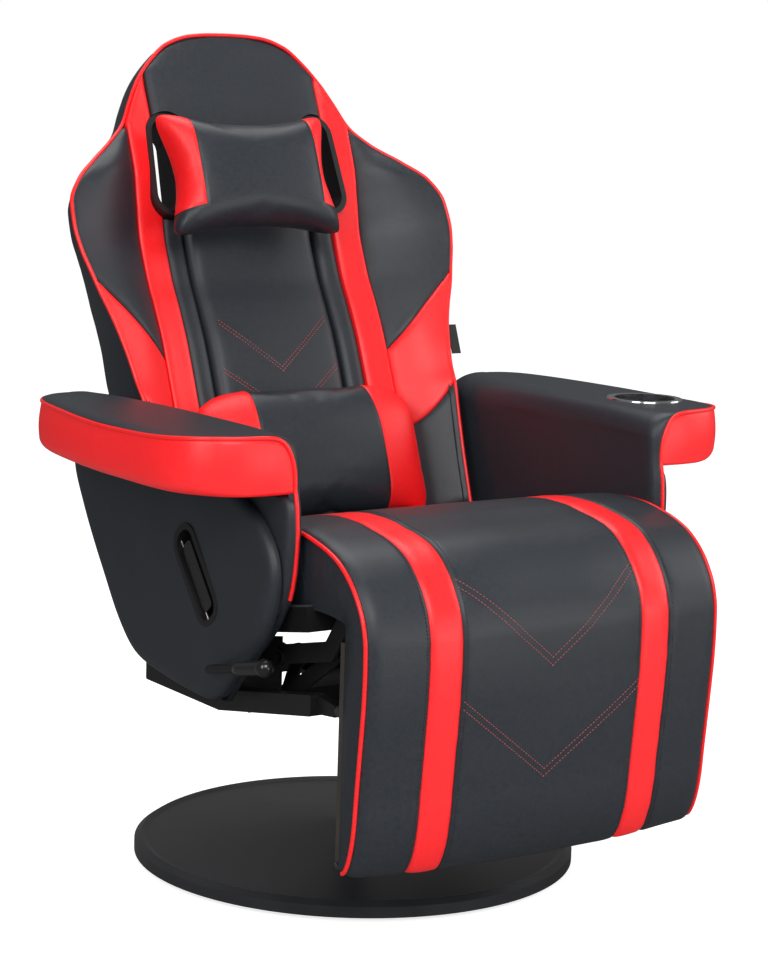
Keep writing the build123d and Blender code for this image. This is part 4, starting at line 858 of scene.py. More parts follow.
# %% [markdown]
# ## Backrest
#
# The backrest is sewn from panels: a flat centre between two grooves, two narrow red bands, two wings that
# curve forward, a head pad, and a cover over its rear. Its own plane leans back, so a point is given across
# the chair, up along the backrest, and forward out of it, in millimetres. The forward places of the centre
# and of the piped edge are tables, and everything between them follows.

# %% The backrest's surface
lean = math.radians(21.4)
back_foot_y, back_foot_z = 129, 430
forward_way = np.array([0, -math.cos(lean), math.sin(lean)])


def back_point(x, up, forward):
    """From across, up and forward, in millimetres, to the chair's frame in metres."""
    x, up, forward = np.broadcast_arrays(*(np.asarray(value, float) for value in (x, up, forward)))
    y = back_foot_y + up * math.sin(lean) - forward * math.cos(lean)
    z = back_foot_z + up * math.cos(lean) + forward * math.sin(lean)
    return np.stack([x, y, z], axis=-1) * MM


# The piped edge: across, up, forward
edge_table = np.array([
    (235.6, -8, 43.8), (236, 4, 44), (238, 60, 45), (242, 120, 45.5), (246, 163, 45), (249, 194, 39.5),
    (253, 224, 37.5), (259, 255.5, 35.5), (267, 284, 35), (277, 313, 35), (285, 342, 34), (293, 372, 33),
    (297, 403, 32.5), (295, 435, 31), (278, 467, 28), (245.5, 497, 16), (207, 529, 0), (180, 557, -6),
    (163, 589.5, -7), (144, 622, -7), (121, 649, -5), (93, 671.5, -2), (57.7, 682.5, 1), (25, 685.1, 2),
    (0, 685.6, 2),
])
# How far forward the middle lies: up, forward
valley_table = np.array([
    (0, -5), (120, -5), (200, -6), (250, -7.5), (300, -13), (345, -20), (395, -22), (450, -13), (500, -5),
    (560, -5), (630, -8), (692, -9),
])
centre_half, band_edge = 136.2, 177.0
wing_low, wing_high = -3.0, 551.0
rear_start = -52


def edge_x(up):
    """How far out the piped edge runs."""
    return smooth_line(edge_table[:, 1], edge_table[:, 0], up)


def valley(up):
    """How far forward the middle of the backrest lies."""
    return smooth_line(valley_table[:, 0], valley_table[:, 1], up)


def rim_line(count):
    """Points along the left piped edge from the seat to the top, and the way out of the backrest there."""
    places = run_along(edge_table[:, :2])
    spots = np.linspace(0, places[-1], count)
    x, up, forward = (smooth_line(places, edge_table[:, n], spots) for n in range(3))
    along_x, along_up = np.gradient(x), np.gradient(up)
    size = np.hypot(along_x, along_up)
    return x, up, forward, along_up / size, -along_x / size


# How far in the backrest's side meets its rear: heights, and the inset at each
boxing_up = [-8, 120, 200, 260, 330, 380, 440, 500, 560, 692]
boxing_in = [7, 7, 8, 18, 33, 40, 38, 22, 5, 2]


def boxing_inset(up):
    """How far in from the piped edge the backrest's side meets its rear."""
    return smooth_line(boxing_up, boxing_in, up)


print("backrest", round(edge_table[-1, 1] - edge_table[0, 1]), "mm long")


# %% Wings
def wing_surface(share, up):
    """Across and forward places on the left wing, from the band (0) to the piping (1)."""
    width = edge_x(up) - band_edge
    start = valley(up) + 5
    stop = smooth_line(edge_table[:, 1], edge_table[:, 2], up) + 3
    swell = 12 * np.sin(np.pi * share ** 0.9) * np.clip(width / 80, 0, 1)
    return band_edge + width * share, start + (stop - start) * share ** 1.35 + swell


def wing_seam(low, high):
    """A seam across a wing, from its height at the band to its height at the piping."""
    return lambda share: low + (high - low) * share - (9 * np.sin(np.pi * share) if high > low else 0)


wing_seams = [wing_seam(wing_low, wing_low), wing_seam(113, 166), wing_seam(229, 332),
              wing_seam(wing_high, wing_high)]
wing_panels = [(black_leather, 34), (red_leather, 34), (black_leather, 70)]
thickness = 0.003 + 0.013 * (1 - crowded(40, 0.8) ** 6)[:, None, None]
for side, label in ((1, "left"), (-1, "right")):
    wing = Cover("wing_" + label)
    share = crowded(40, 0.8)[:, None]
    for number, (colour, count) in enumerate(wing_panels):
        low, high = wing_seams[number](share), wing_seams[number + 1](share)
        up = low + (high - low) * crowded(count, 0.8)[None, :]
        x, forward = wing_surface(share + 0 * up, up)
        panel = sewn(outward(back_point(side * x, up, forward), forward_way), forward_way, (4, 2.5, 4, 4),
                     (16, 8, 12, 12), 0.8, 1.6, 3 + number)
        wing.sheet(panel, panel - forward_way * thickness, colour)
    rim_x, rim_up, rim_forward, out_x, out_up = (line[:, None] for line in rim_line(180))
    depth = crowded(16, 0.6)[None, :]
    inset = boxing_inset(rim_up) * depth ** 1.2 - 3 * np.sin(np.pi * depth)
    front = rim_forward - 1.5
    outer, inner = (
        back_point(side * np.maximum(rim_x - out_x * (inset + deeper), 0),
                   rim_up - out_up * (inset + deeper), front + (rear_start - front) * depth)
        for deeper in (0, 9)
    )
    wing.sheet(outer, inner, black_leather)
    dress(wing.build(), "backrest", ["back_wing_" + label])


# %% Centre, bands, head pad and rear
def slot_cutter(side):
    """A rounded bar through the backrest where a belt slot goes."""
    x, up = rounded_bar(30.6, 43.0, 4.0, (122, 500))
    return prism("slot_cutter", back_point(side * x, up, -130), back_point(side * x, up, 90))


slot_cutters = [slot_cutter(1), slot_cutter(-1)]

# Places across half the centre, and how deep each lies under the middle, with the groove at 103 mm
half_x = np.array([
    0, 20, 40, 58, 70, 78, 84, 89, 94, 98, 101, 103, 105, 107, 110, 114, 119, 124, 129, 132.5, 135.0, 135.6,
])
half_deep = np.array([
    -6, -5.9, -5.5, -4.8, -4, -3.3, -2.6, -1.6, .4, 4.5, 9.5, 15, 9.5, 4.5, 2.2, 1, .3, 0, .8, 2.4, 4.6, 6,
])
up = np.concatenate([np.linspace(-6, 520, 110), 520 + 14 * crowded(10, 0.5)[1:]])[:, None]
x = np.concatenate([-half_x[::-1], half_x[1:]])[None, :]
deep = np.concatenate([half_deep[::-1], half_deep[1:]])[None, :]
grid = outward(back_point(x, up, valley(up) - deep), forward_way)
grid = sewn(grid, forward_way, (8, 4, 0, 0), (14, 9, 1, 1), 0.0, 1.4, 21)
centre = Cover("centre_pad_sewn")
centre.sheet(grid, grid - forward_way * 0.028, black_leather)
dress(carve(centre.build(), slot_cutters), "backrest", ["centre_pad"])

for side, label in ((1, "left"), (-1, "right")):
    up = np.linspace(-4, 634, 160)[:, None]
    share = crowded(18, 0.8)[None, :]
    inner = smooth_line([0, 560, 600, 634], [centre_half, centre_half, centre_half, 135.0], up)
    outer = np.maximum(np.minimum(band_edge, edge_x(up) - 1.5), inner + 1.0)
    x = inner + (outer - inner) * share
    grid = outward(back_point(side * x, up, valley(up) + 2.5 + 5 * share ** 1.5), forward_way)
    grid = sewn(grid, forward_way, (6, 1, 3.6, 3.6), (10, 4, 10, 10), 0.6, 0.6, 31)
    band = Cover("band_" + label)
    band.sheet(grid, grid - forward_way * 0.026, red_leather)
    dress(carve(band.build(), slot_cutters), "backrest", ["back_strip_" + label])

head_low, head_high = 536.5, 685.2
up = head_low + (head_high - head_low) * crowded(60, 0.75)[:, None]
share = np.linspace(-1, 1, 81)[None, :]
share = np.sign(share) * (1 - (1 - np.abs(share)) ** 1.3)
x = share * np.minimum(135.2, edge_x(up) - 0.6)
forward = valley(up) + 8 * np.sqrt(np.maximum(1 - np.abs(share) ** 2.5, 0)) + 4
grid = outward(back_point(x, up, forward), forward_way)
grid = sewn(grid, forward_way, (5, 3, 3.5, 3.5), (16, 12, 12, 12), 0.7, 1.6, 41)
head = Cover("head_pad_sewn")
head.sheet(grid, grid - forward_way * 0.030, black_leather)
dress(carve(head.build(), slot_cutters), "backrest", ["head_pad"])

rim_x, rim_up, _, out_x, out_up = (line[:, None] for line in rim_line(170))
share = crowded(70, 0.5)[None, :] * 2 - 1
inset = boxing_inset(rim_up)
x = np.maximum(rim_x - out_x * inset, 0.5) * share
hollow = smooth_line([-8, 430, 500, 640, 692], [40, 38, 25, 21, 8], rim_up)
rear_forward = -51.0 - hollow * rolled(1 - np.abs(share), 0.5)
grid = outward(back_point(x, rim_up - out_up * inset, rear_forward), -forward_way)
grid = sewn(grid, -forward_way, (0, 0, 0, 0), (1, 1, 1, 1), 0.0, 0.8, 45)
rear = Cover("rear_cover")
rear.sheet(grid, grid + forward_way * 0.007, black_leather)
dress(carve(rear.build(), slot_cutters), "backrest", ["back_shell"])

# %% Piping and chevrons of the backrest
rim_x, rim_up, rim_forward, out_x, out_up = rim_line(280)
half_rim = np.stack([rim_x + out_x, rim_up + out_up, rim_forward + 0.5], axis=1)[rim_up > -5]
whole_rim = np.concatenate([half_rim, half_rim[:-1][::-1] * np.array([-1, 1, 1])])
dress(piping("back_piping", [back_point(*whole_rim.T)]), "backrest")

back_chevrons = []
shares = np.linspace(0, 1, 40)
for top_up, tip_up, reach in ((278, 209, 83), (210, 141, 89)):
    for gap in (-3, 3):
        for side in (1, -1):
            x = side * reach * (1 - shares)
            up = top_up + (tip_up - top_up) * shares + gap
            sunk = np.interp(np.abs(x), half_x, half_deep)
            back_chevrons.append(back_point(x, up, valley(up) - sunk + 0.3))
dress(stitches("back_chevrons", back_chevrons, material=red_thread, width=0.0012), "backrest")

# %% [markdown]
# ## Pillows
#
# Both pillows are stuffed bags. The corners stand out, the sides between them pull in, and the middle
# swells. The plain form comes from a formula. A short cloth simulation with a little pressure then pulls
# the skin tight over it, which gives the small folds that a formula lacks.


# %% Pillow leather: black or red by the sign of the attribute colour_edge, with a sewn line at nought
def colour_edge(tree):
    """The signed distance from the colour seam, in millimetres."""
    return add_node(tree, "ShaderNodeAttribute", {"attribute_name": "colour_edge"}).outputs["Fac"]


def beside_seam(tree, reach):
    """The distance from the colour seam as a share of a reach in millimetres."""
    return maths(tree, "DIVIDE", maths(tree, "ABSOLUTE", colour_edge(tree)), reach, clamp=True)


def pillow_colour(tree, mask):
    """Black or red, and dark along the seam."""
    black, red = (colour_between(tree, mask, *tones) for tones in (black_tones, red_tones))
    chosen = colour_between(tree, maths(tree, "GREATER_THAN", colour_edge(tree), 0.0), black, red)
    return colour_between(tree, beside_seam(tree, 1.1), (0.02, 0.004, 0.005), chosen)


def pillow_relief(tree, height):
    """The grain's height, with a dip along the seam."""
    return maths(tree, "ADD", height, maths(tree, "MULTIPLY", beside_seam(tree, 4.0), 0.5))


pillow_leather = textured("pillow_leather", leather_grain, {"Crease Amount": 0.45}, (0.33, 0.48), 0.4, 0.004,
                          pillow_colour, pillow_relief)

# %% Pillow helpers
pillow_voxel = 0.005
cloth_pressure, cloth_frames, cloth_cap = 3.0, 14, 0.010
# How far forward of the backrest's plane the pillows' rear lies, in millimetres
pillow_seat = 4


def pillow_grids(half_size, thick, pulls, middle, edge_shares, ease, corner_drop=0.0, soft_top=False):
    """Front and rear grids of a pillow. It pulls in at its sides, top and foot."""
    half_width, half_height = half_size
    pull_side, pull_top, pull_low = pulls
    low_share, top_share = edge_shares
    u = np.sin(np.linspace(-math.pi / 2, math.pi / 2, 90))[:, None]
    v = np.sin(np.linspace(-math.pi / 2, math.pi / 2, 70))[None, :]
    x = u * half_width * (1 - pull_side * (1 - v ** 2)) * (1 - ease * np.abs(v) ** 9) + middle[0]
    pull = np.where(v > 0, pull_top, pull_low)
    up = middle[1] + v * half_height * (1 - pull * (1 - np.abs(u) ** 2.5)) * (1 - ease * np.abs(u) ** 9)
    up = up - corner_drop * np.clip(v, 0, 1) ** 2 * np.abs(u) ** 5
    body = np.maximum(1 - np.abs(v) ** 4, 0) ** 0.45
    if soft_top:
        body = np.where(v > 0, np.maximum(1 - np.abs(v) ** 2.2, 0) ** 0.75, body)
    body = np.maximum(1 - np.abs(u) ** 5, 0) ** 0.42 * body
    edge = low_share + (top_share - low_share) * np.clip(np.linspace(-1, 1, v.size)[None, :], 0, 1) ** 2
    front = back_point(x, up, pillow_seat + thick * (edge + (1 - edge) * body))
    return front, back_point(x, up, pillow_seat + thick * edge * (1 - body))


def points_of(mesh):
    """The points of a mesh, in metres."""
    flat = np.empty(len(mesh.vertices) * 3)
    mesh.vertices.foreach_get("co", flat)
    return flat.reshape(-1, 3)


def inflate(thing):
    """Pull a piece's skin tight with a short cloth simulation, with a cap on how far a point may move."""
    start = points_of(thing.data)
    cloth = thing.modifiers.new("cloth", "CLOTH")
    cloth.settings.use_pressure = True
    cloth.settings.uniform_pressure_force = cloth_pressure
    cloth.settings.effector_weights.gravity = 0
    cloth.settings.mass = 0.3
    cloth.settings.tension_stiffness = 20
    cloth.settings.compression_stiffness = 8
    cloth.settings.bending_stiffness = 0.6
    cloth.point_cache.frame_start = 1
    cloth.point_cache.frame_end = cloth_frames
    for number in range(1, cloth_frames + 1):
        scene.frame_set(number)
    ready = thing.evaluated_get(bpy.context.evaluated_depsgraph_get())
    step = points_of(ready.data) - start
    thing.modifiers.clear()
    scene.frame_set(1)
    step = step * np.minimum(1, cloth_cap / np.maximum(np.linalg.norm(step, axis=1, keepdims=True), 1e-9))
    thing.data.vertices.foreach_set("co", (start + step).ravel())
    thing.data.update()
    print(thing.name, "moved up to", round(float(np.linalg.norm(step, axis=1).max()) / MM, 1), "mm")


def even_out(work):
    """Move each point of a mesh towards its neighbours, four times."""
    for _ in range(4):
        bmesh.ops.smooth_vert(work, verts=work.verts, factor=0.5,
                              use_axis_x=True, use_axis_y=True, use_axis_z=True)


def make_pillow(name, grids, node, rule):
    """A pillow from its two grids: remeshed, inflated, coloured and set on the backrest."""
    piece = Cover(name)
    piece.sheet(*grids, pillow_leather)
    thing = piece.build()
    remesh = thing.modifiers.new("remesh", "REMESH")
    remesh.mode = "VOXEL"
    remesh.voxel_size = pillow_voxel
    thing.data = applied(thing)
    inflate(thing)
    worked(thing.data, even_out)
    refine = thing.modifiers.new("refine", "SUBSURF")
    refine.levels = refine.render_levels = 1
    mesh = thing.data = applied(thing)
    mesh.name = name
    mesh.materials.clear()
    mesh.materials.append(pillow_leather)
    mesh.polygons.foreach_set("use_smooth", [True] * len(mesh.polygons))
    x, y, z = points_of(mesh).T / MM
    up = (y - back_foot_y) * math.sin(lean) + (z - back_foot_z) * math.cos(lean)
    edge = mesh.attributes.new("colour_edge", "FLOAT", "POINT")
    edge.data.foreach_set("value", rule(x, up).astype(np.float32))
    dress(thing, "backrest", [node])


# %% Head and lumbar pillows
head_shift = -24.0


def head_rule(x, up):
    """Red side panels above the black lower band."""
    off_middle = np.abs(x - head_shift)
    return np.minimum(off_middle - 92, up - (421 - 0.15 * (off_middle - 91)))


def lumbar_rule(x, up):
    """Red side panels of the lumbar pillow."""
    return np.abs(x) - (94 - 4 * np.clip((up - 120) / 60, 0, 1))


head_grids = pillow_grids((139, 94), 70, (0.17, 0.245, 0.20), (head_shift, 472), (0.48, 0.42), 0.07)
make_pillow("head_pillow_sewn", head_grids, "head_pillow", head_rule)
lumbar_grids = pillow_grids((170, 97), 64, (0.01, 0.06, 0.0), (0.0, 88), (0.55, 0.30), 0.02, corner_drop=34,
                            soft_top=True)
make_pillow("lumbar_pillow_sewn", lumbar_grids, "lumbar_pillow", lumbar_rule)

# %% [markdown]
# ## Arms
#
# The inner face of an arm rises from beside the seat, rolls outwards and becomes the top of the armrest, so
# it is one sheet. A red band closes the front and the outer side under a line of piping. The outer panel
# below is a separate padded shield. All tables are for the left arm and in millimetres.

# %% Arm tables
wall_x = 262
front_end, rest_end, core_end = -267.2, 196, 243
rest_top, rest_low = 609.5, 541.0

# The foot of the inner wall, and the roll's outer end
core_low_y = np.array([-276, -270, -262, -235, -200, -165, -134, -60, 18, 76, 123, 174, 232, 243.0])
core_low_z = np.array([470, 436, 416, 375, 340, 305, 267, 268, 276, 290, 333, 402, 498, 530.0])
roll_y = np.array([-267.2, -214, -150, -50, 20, 80, 120, 150, 175, 196])
roll_x = np.array([297, 288, 283, 283, 286, 292, 297, 304, 314, 322])
# The armrest from above, from its front round the outer side, and the height of its piping
armrest_plan = np.array([
    (270, -266), (300, -266.5), (320, -266), (341, -263), (362, -256), (381, -243), (396, -225),
    (406, -203), (411.5, -178), (413.5, -150), (414, -100), (414, -50), (411, 10), (406, 60), (399, 110),
    (392, 142), (383, 166), (369, 184), (350, 194), (334, 196), (322, 190),
])
piping_height = np.array([
    609, 609, 609, 609, 609, 608.5, 607.4, 606, 604.6, 603.2, 601.8, 601, 601.5, 602.5, 603, 603, 603.5,
    604, 604.5, 605, 605,
])
# The armrest's inner front corner from the front, and the front edge below it from the side
corner_curve = np.array([
    (274.5, 544), (274.5, 556), (275.5, 568), (277.5, 578), (281, 588), (286, 597), (292, 603),
    (299, 606.6), (307, 608.4), (315, 609),
])
front_z = np.array([416, 430, 450, 475, 500, 525, 540, 556.0])
front_y = np.array([-262, -267, -271.5, -274, -274.5, -272.5, -269.5, -267.2])

corner_places = run_along(corner_curve)
plan_places = run_along(armrest_plan)
core_line = np.stack([core_low_y, core_low_z], axis=1)
front_line = np.stack([front_y, front_z], axis=1)
wall_edge = np.concatenate([core_line[:1:-1], front_line, [(front_end, 620)]])
wall_places = run_along(wall_edge)
wall_spots = np.arange(0, wall_places[-1], 1.5)
wall_dots = np.stack([np.interp(wall_spots, wall_places, wall_edge[:, n]) for n in (0, 1)], axis=1)
plan_spots = np.linspace(plan_places[1] + 10, plan_places[-2], 500)
plan_dots = np.stack([smooth_line(plan_places, armrest_plan[:, n], plan_spots) for n in (0, 1)], axis=1)
plan_heights = smooth_line(plan_places, piping_height, plan_spots)
print("armrest", round(rest_top - rest_low), "mm thick,", len(plan_dots), "places round its edge")


# %% Arm lines
def plan_edge(y):
    """Outer edge of the armrest at a place along the chair."""
    return float(smooth_line(armrest_plan[2:-1, 1], armrest_plan[2:-1, 0], y))


def from_wall_edge(y, z):
    """Distance of a point on the inner wall from its sewn edge."""
    return float(np.min(np.hypot(wall_dots[:, 0] - y, wall_dots[:, 1] - z)))


def from_plan_edge(x, y):
    """Distance of a point on the top from the piped edge, and the piping's height there."""
    away = np.hypot(plan_dots[:, 0] - x, plan_dots[:, 1] - y)
    near = int(np.argmin(away))
    return float(away[near]), float(plan_heights[near])


def front_x(z):
    """How far out the front piping runs at a height."""
    return float(np.interp(z, corner_curve[:-1, 1], corner_curve[:-1, 0]))


def front_shift(z):
    """How far the front edge stands behind the armrest's front at a height."""
    return np.interp(z, front_z, front_y) - front_end


def roll_section(y, steps):
    """The roll at a place along the arm: x, z and angle from the wall to the top."""
    reach = float(smooth_line(roll_y, roll_x, y)) - wall_x
    tall = 34 + 0.2 * (reach - 35)
    angle = np.linspace(0, math.pi / 2, steps)
    return wall_x + reach * (1 - np.cos(angle)), rest_top - tall + tall * np.sin(angle), angle


def with_back(rows, deep, push=0.0):
    """A grid from rows of (x, y, z, angle), and the grid that lies under it by a depth, pushed along y."""
    table = np.array(rows)
    points, angle = table[..., :3], table[..., 3]
    shift = (deep * np.cos(angle), np.broadcast_to(push, angle.shape), -deep * np.sin(angle))
    return points * MM, (points + np.stack(shift, axis=-1)) * MM


# %% Arm skins
wall_rows = 34


def arm_skin():
    """Inner face, roll and top of the left arm: the outer grid and the inner one."""
    steps = 17
    first_x, first_z, _ = roll_section(front_end, steps)
    begin = np.interp(first_z[0], corner_curve[:-1, 1], corner_places[:-1])
    on_curve = np.linspace(begin, corner_places[-1], steps)
    curve_x, curve_z = (np.interp(on_curve, corner_places, corner_curve[:, n]) for n in (0, 1))
    along = np.concatenate([front_end + 30 * np.linspace(0, 1, 28) ** 1.5, np.linspace(-233, 184, 84),
                            np.linspace(186, rest_end, 9)])
    eases = 1 - rolled(along - front_end, 20)
    rows = []
    for row_y, ease in zip(along, eases):
        pull = max(1 - (row_y - front_end) / 60, 0) ** 2
        z_low = float(np.interp(row_y, core_low_y, core_low_z))
        for _ in range(20):
            z_low = float(np.interp(row_y + pull * front_shift(z_low), core_low_y[2:], core_low_z[2:]))
        fall = 5 * (1 - float(rolled(rest_end - row_y, 10)))
        xs, zs, angles = roll_section(row_y, steps)
        xs, zs = xs + ease * (curve_x - first_x), zs + ease * (curve_z - first_z)
        column = []
        for z in np.linspace(z_low, zs[0], wall_rows)[:-1]:
            y = row_y + pull * front_shift(z)
            out = (front_x(z) - wall_x) * (1 - float(rolled(from_wall_edge(y, z), 20)))
            column.append((wall_x + max(out, fall * (z > rest_low)), y, z, 0.0))
        column += [(x + fall * math.cos(a), row_y, z - fall * math.sin(a), a)
                   for x, z, a in zip(xs, zs, angles)]
        for x in np.linspace(xs[-1], max(plan_edge(row_y) - 0.8, xs[-1] + 0.5), 26)[1:]:
            away, height = from_plan_edge(x, row_y)
            z = rest_top - max(rest_top - height - 1, 0) * (1 - float(rolled(away, 18)))
            column.append((x, row_y, min(z, rest_top - fall), math.pi / 2))
        rows.append(column)
    return with_back(rows, 9, push=7 * eases[:, None])


def rear_core():
    """The low end of the arm's core behind the armrest."""
    rows = []
    for y in np.concatenate([np.linspace(184, 230, 16), np.linspace(232, core_end, 10)]):
        z_low = float(np.interp(y, core_low_y, core_low_z))
        fall = 10 * (1 - float(rolled(core_end - y, 10)))
        z_high = max(rest_low - fall, z_low + 2)
        turn = min(10.0, z_high - z_low)
        column = []
        for z in np.linspace(z_low, z_high - turn, 20):
            out = 12 * (1 - float(rolled(from_wall_edge(y, z), 18)))
            column.append((wall_x + 0.4 + max(out, fall), y, z, 0.0))
        start = column[-1][0]
        for a in np.linspace(0, math.pi / 2, 8)[1:]:
            column.append((start + turn * (1 - math.cos(a)), y, z_high - turn + turn * math.sin(a), a))
        column += [(x, y, z_high, math.pi / 2) for x in np.linspace(column[-1][0], 288, 6)[1:]]
        rows.append(column)
    return with_back(rows, 7)


def on_side(grid, side):
    """The left arm's grid, or its mirror image."""
    return grid * np.array([side, 1, 1])


skin_grid, skin_back = arm_skin()
core_grid, core_back = rear_core()

# The rear end of the armrest, from its top down to its foot
end_line = skin_grid[-1][wall_rows - 1:]
shares = np.linspace(0, 1, 14)[:, None]
end_cap = np.repeat(end_line[None], len(shares), axis=0)
end_cap[..., 2] = rest_low * MM + (end_line[None, :, 2] - rest_low * MM) * (1 - shares)
end_cap[..., 1] += 0.0015 * np.sin(np.pi * shares)
end_back = end_cap - np.array([0, 0.007, 0])

# A slow swell on the wall, which fades out at its front
row_count, column_count = skin_grid.shape[:2]
faded = (np.arange(column_count) < wall_rows) * np.clip(np.arange(row_count) / 30, 0, 1)[:, None]
skin_grid[..., 0] += wander(skin_grid, 0.09, 56) * 0.0012 * faded

cup_x, cup_y = rounded_bar(42.5, 0, 0, (350, -140), 64)
cup_rings = (np.column_stack([cup_x, cup_y, np.full(len(cup_x), z)]) * MM for z in (520, 670))
cup_cutter = prism("cup_cutter", *cup_rings)
for side, label in ((1, "left"), (-1, "right")):
    arm = Cover("arm_" + label)
    arm.sheet(on_side(skin_grid, side), on_side(skin_back, side), black_leather)
    made = arm.build()
    if side > 0:
        made = carve(made, [cup_cutter])
    rest = Cover("arm_rest_" + label)
    rest.sheet(on_side(core_grid, side), on_side(core_back, side), black_leather)
    rest.sheet(on_side(end_cap, side), on_side(end_back, side), black_leather)
    rest_part = rest.build()
    worked(made.data, lambda work: work.from_mesh(rest_part.data))
    bpy.data.objects.remove(rest_part)
    made.data.set_sharp_from_angle(angle=math.radians(50))
    dress(made, "chassis", ["armrest_" + label, "arm_core_" + label])

# %% Armrest bands: places along the piping, over the corner and round the plan, and the way out at each
corner_count = 40
on_curve = np.linspace(2, corner_places[-1], corner_count)
rim_spots = np.linspace(np.interp(315, armrest_plan[:3, 0], plan_places[:3]), plan_places[-1], 130)[1:]
rim_x, rim_y = (smooth_line(plan_places, armrest_plan[:, n], rim_spots) for n in (0, 1))
corner_x, corner_z = (np.interp(on_curve, corner_places, corner_curve[:, n]) for n in (0, 1))
way_x, way_y = np.gradient(rim_x), np.gradient(rim_y)
way_size = np.hypot(way_x, way_y)
band_x = np.concatenate([corner_x, rim_x])
band_y = np.concatenate([np.full(corner_count, -266.6), rim_y])
band_top = np.concatenate([corner_z, smooth_line(plan_places, piping_height, rim_spots)]) - 0.8
band_nx = np.concatenate([np.zeros(corner_count), way_y / way_size])
band_ny = np.concatenate([np.full(corner_count, -1.0), -way_x / way_size])
band_place = np.concatenate([corner_x - 270, rim_spots])


def band_grids():
    """The left red band: down from its piping and under the corner, outer and inner grid."""
    rows, backs = [], []
    for x, y, top, nx, ny, place in zip(band_x, band_y, band_top, band_nx, band_ny, band_place):
        turn = 5 + 13 * float(np.clip((place - 70) / 60, 0, 1))
        turn = min(turn, max(top - rest_low - 1, 0.5))
        full = float(np.clip((x - 274.5) / 30, 0, 1))
        column = []
        for z in np.linspace(top, rest_low + turn, 20):
            height = (z - rest_low) / (top - rest_low)
            out = full * (3.5 * math.sin(math.pi * height) - 1.0 * (1 - float(rolled(top - z, 6))))
            column.append((out, z, 0.0))
        low_out = column[-1][0]
        for a in np.linspace(0, math.pi / 2, 10)[1:]:
            column.append((low_out - (turn - turn * math.cos(a)), rest_low + turn - turn * math.sin(a), a))
        column += [(low_out - (turn + step), rest_low, math.pi / 2) for step in (5, 10, 16)]
        for grid, deep in ((rows, 0), (backs, 6)):
            grid.append([(max(x + nx * (d - deep * math.cos(a)), 270), y + ny * (d - deep * math.cos(a)),
                          z + deep * math.sin(a)) for d, z, a in column])
    return np.array(rows) * MM, np.array(backs) * MM


band_front, band_back = band_grids()
under_left = np.array([[(272 + (plan_edge(y) - 16 - 272) * t, y, rest_low + 1.5)
                        for t in np.linspace(0, 1, 12)] for y in np.linspace(-250, 180, 40)]) * MM
rim = np.stack([band_x - 0.5 * band_nx, band_y - 0.5 * band_ny, band_top + 0.8], axis=1)
rim[:corner_count, 1] = front_end
front_rim = np.column_stack([np.full(len(front_line) - 1, 274.5), front_line[:-1]])
arm_rim = np.concatenate([front_rim, rim]) * MM
for side, label in ((1, "left"), (-1, "right")):
    wrap = Cover("armband_" + label + "_sewn")
    wrap.sheet(on_side(band_front, side), on_side(band_back, side), red_leather)
    under = outward(on_side(under_left, side), (0, 0, -1))
    wrap.sheet(under, under - normals_of(under) * 0.006, black_leather)
    dress(wrap.build(), "chassis", ["armband_" + label])
    dress(piping("arm_piping_" + label, [on_side(arm_rim, side)]), "chassis")

# %% Outer panels: (y, z) of the padded shield and of the core behind it
panel_outline = np.array([
    (-150, 541), (-172, 534), (-198, 520), (-219, 509), (-237, 496), (-251, 482), (-261, 465),
    (-265.5, 448), (-265, 430), (-261, 411), (-255, 393), (-243, 372), (-228, 352), (-212, 339),
    (-195, 327), (-178, 311), (-161, 295), (-148, 280), (-134, 267), (-100, 266.5), (-66, 268),
    (-20, 272), (18, 276), (50, 281), (76, 290), (100, 309), (123, 333), (149, 368), (174, 402),
    (209, 452), (241, 505), (241, 541), (100, 541), (-40, 541),
])
core_outline = np.array([
    (-272, 541), (-275, 510), (-276, 480), (-270, 440), (-262, 416), (-250, 396), (-235, 375),
    (-218, 357), (-200, 340), (-182, 322), (-165, 305), (-149, 285), (-134, 266), (-60, 268), (18, 276),
    (76, 290), (100, 310), (123, 333), (149, 368), (174, 402), (204, 450), (232, 498), (245, 541),
    (100, 541), (-100, 541),
])
shield_middle = np.array([-20.0, 440.0])
shield_drop = 11


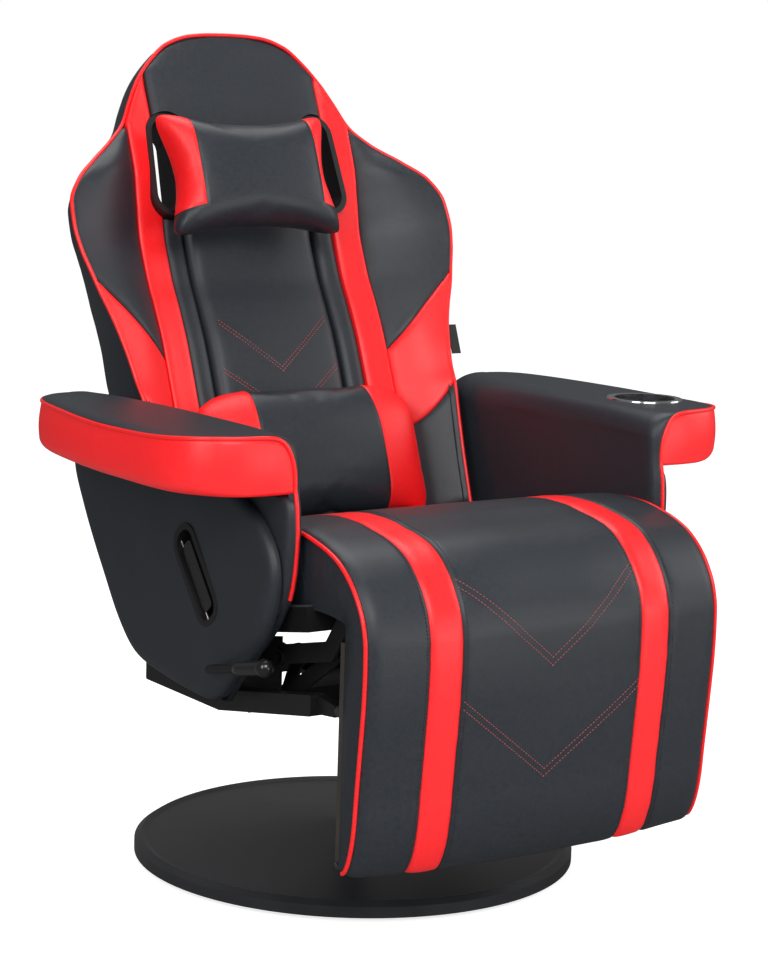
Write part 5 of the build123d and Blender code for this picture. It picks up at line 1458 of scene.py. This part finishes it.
def round_outline(outline, count):
    """Evenly spaced points on a closed outline whose corners are eased."""
    closed = np.concatenate([outline, outline[:1]])
    places = run_along(closed)
    spots = np.linspace(0, places[-1], count, endpoint=False)
    ring = np.stack([np.interp(spots, places, closed[:, n]) for n in (0, 1)], axis=1)
    for _ in range(6):
        ring = (np.roll(ring, 1, axis=0) + 2 * ring + np.roll(ring, -1, axis=0)) / 4
    return ring


def on_arm(points, side, level):
    """From (y, z) on an arm's side to the chair's frame."""
    return np.stack([side * np.broadcast_to(level, len(points)), points[:, 0], points[:, 1]], axis=1) * MM


def shield(cover, outline, side, level, radius, depth, seed, swell):
    """A padded shield: rings that shrink towards a middle, sunk at the outline like a sewn edge."""
    ring = round_outline(outline, 160)
    count = len(ring)
    shares = np.concatenate([1 - 0.12 * crowded(22, 0.3), np.linspace(0.88, 0.02, 26)[1:]])
    rows = []
    for share in shares:
        now = shield_middle + (ring - shield_middle) * share
        away = np.linalg.norm(ring - now, axis=1)
        rows.append(on_arm(now, side, level - shield_drop * (1 - rolled(away, radius))))
    points = np.concatenate(rows)
    swollen = wander(points, 0.08, seed) * swell * np.repeat(np.clip((1 - shares) * 12, 0, 1), count)
    points[:, 0] += side * swollen
    last, back = len(points) - count, len(points)
    faces = ring_faces(len(shares), count) + [tuple(range(last, back))]
    faces += [(j, (j + 1) % count, back + (j + 1) % count, back + j) for j in range(count)]
    faces.append(tuple(reversed(range(back, back + count))))
    cover.add(np.concatenate([points, on_arm(ring, side, level - depth)]), faces, black_leather)


recess_y, recess_z = rounded_bar(23.3, 39, -39, (-92, 418))
recess_rings = (np.column_stack([np.full(len(recess_y), x), recess_y, recess_z]) * MM for x in (-330, -270))
recess_cutter = prism("recess_cutter", *recess_rings)
for side, label in ((1, "left"), (-1, "right")):
    panel = Cover("arm_panel_" + label + "_sewn")
    shield(panel, core_outline, side, 286.5, 12, 13, seed=71, swell=0.0015)
    shield(panel, panel_outline, side, 303.0, 20, 15, seed=73, swell=0.0022)
    made = panel.build()
    if side < 0:
        made = carve(made, [recess_cutter])
    dress(made, "chassis", ["arm_panel_" + label])

for cutter in [*slot_cutters, cup_cutter, recess_cutter]:
    bpy.data.objects.remove(cutter)
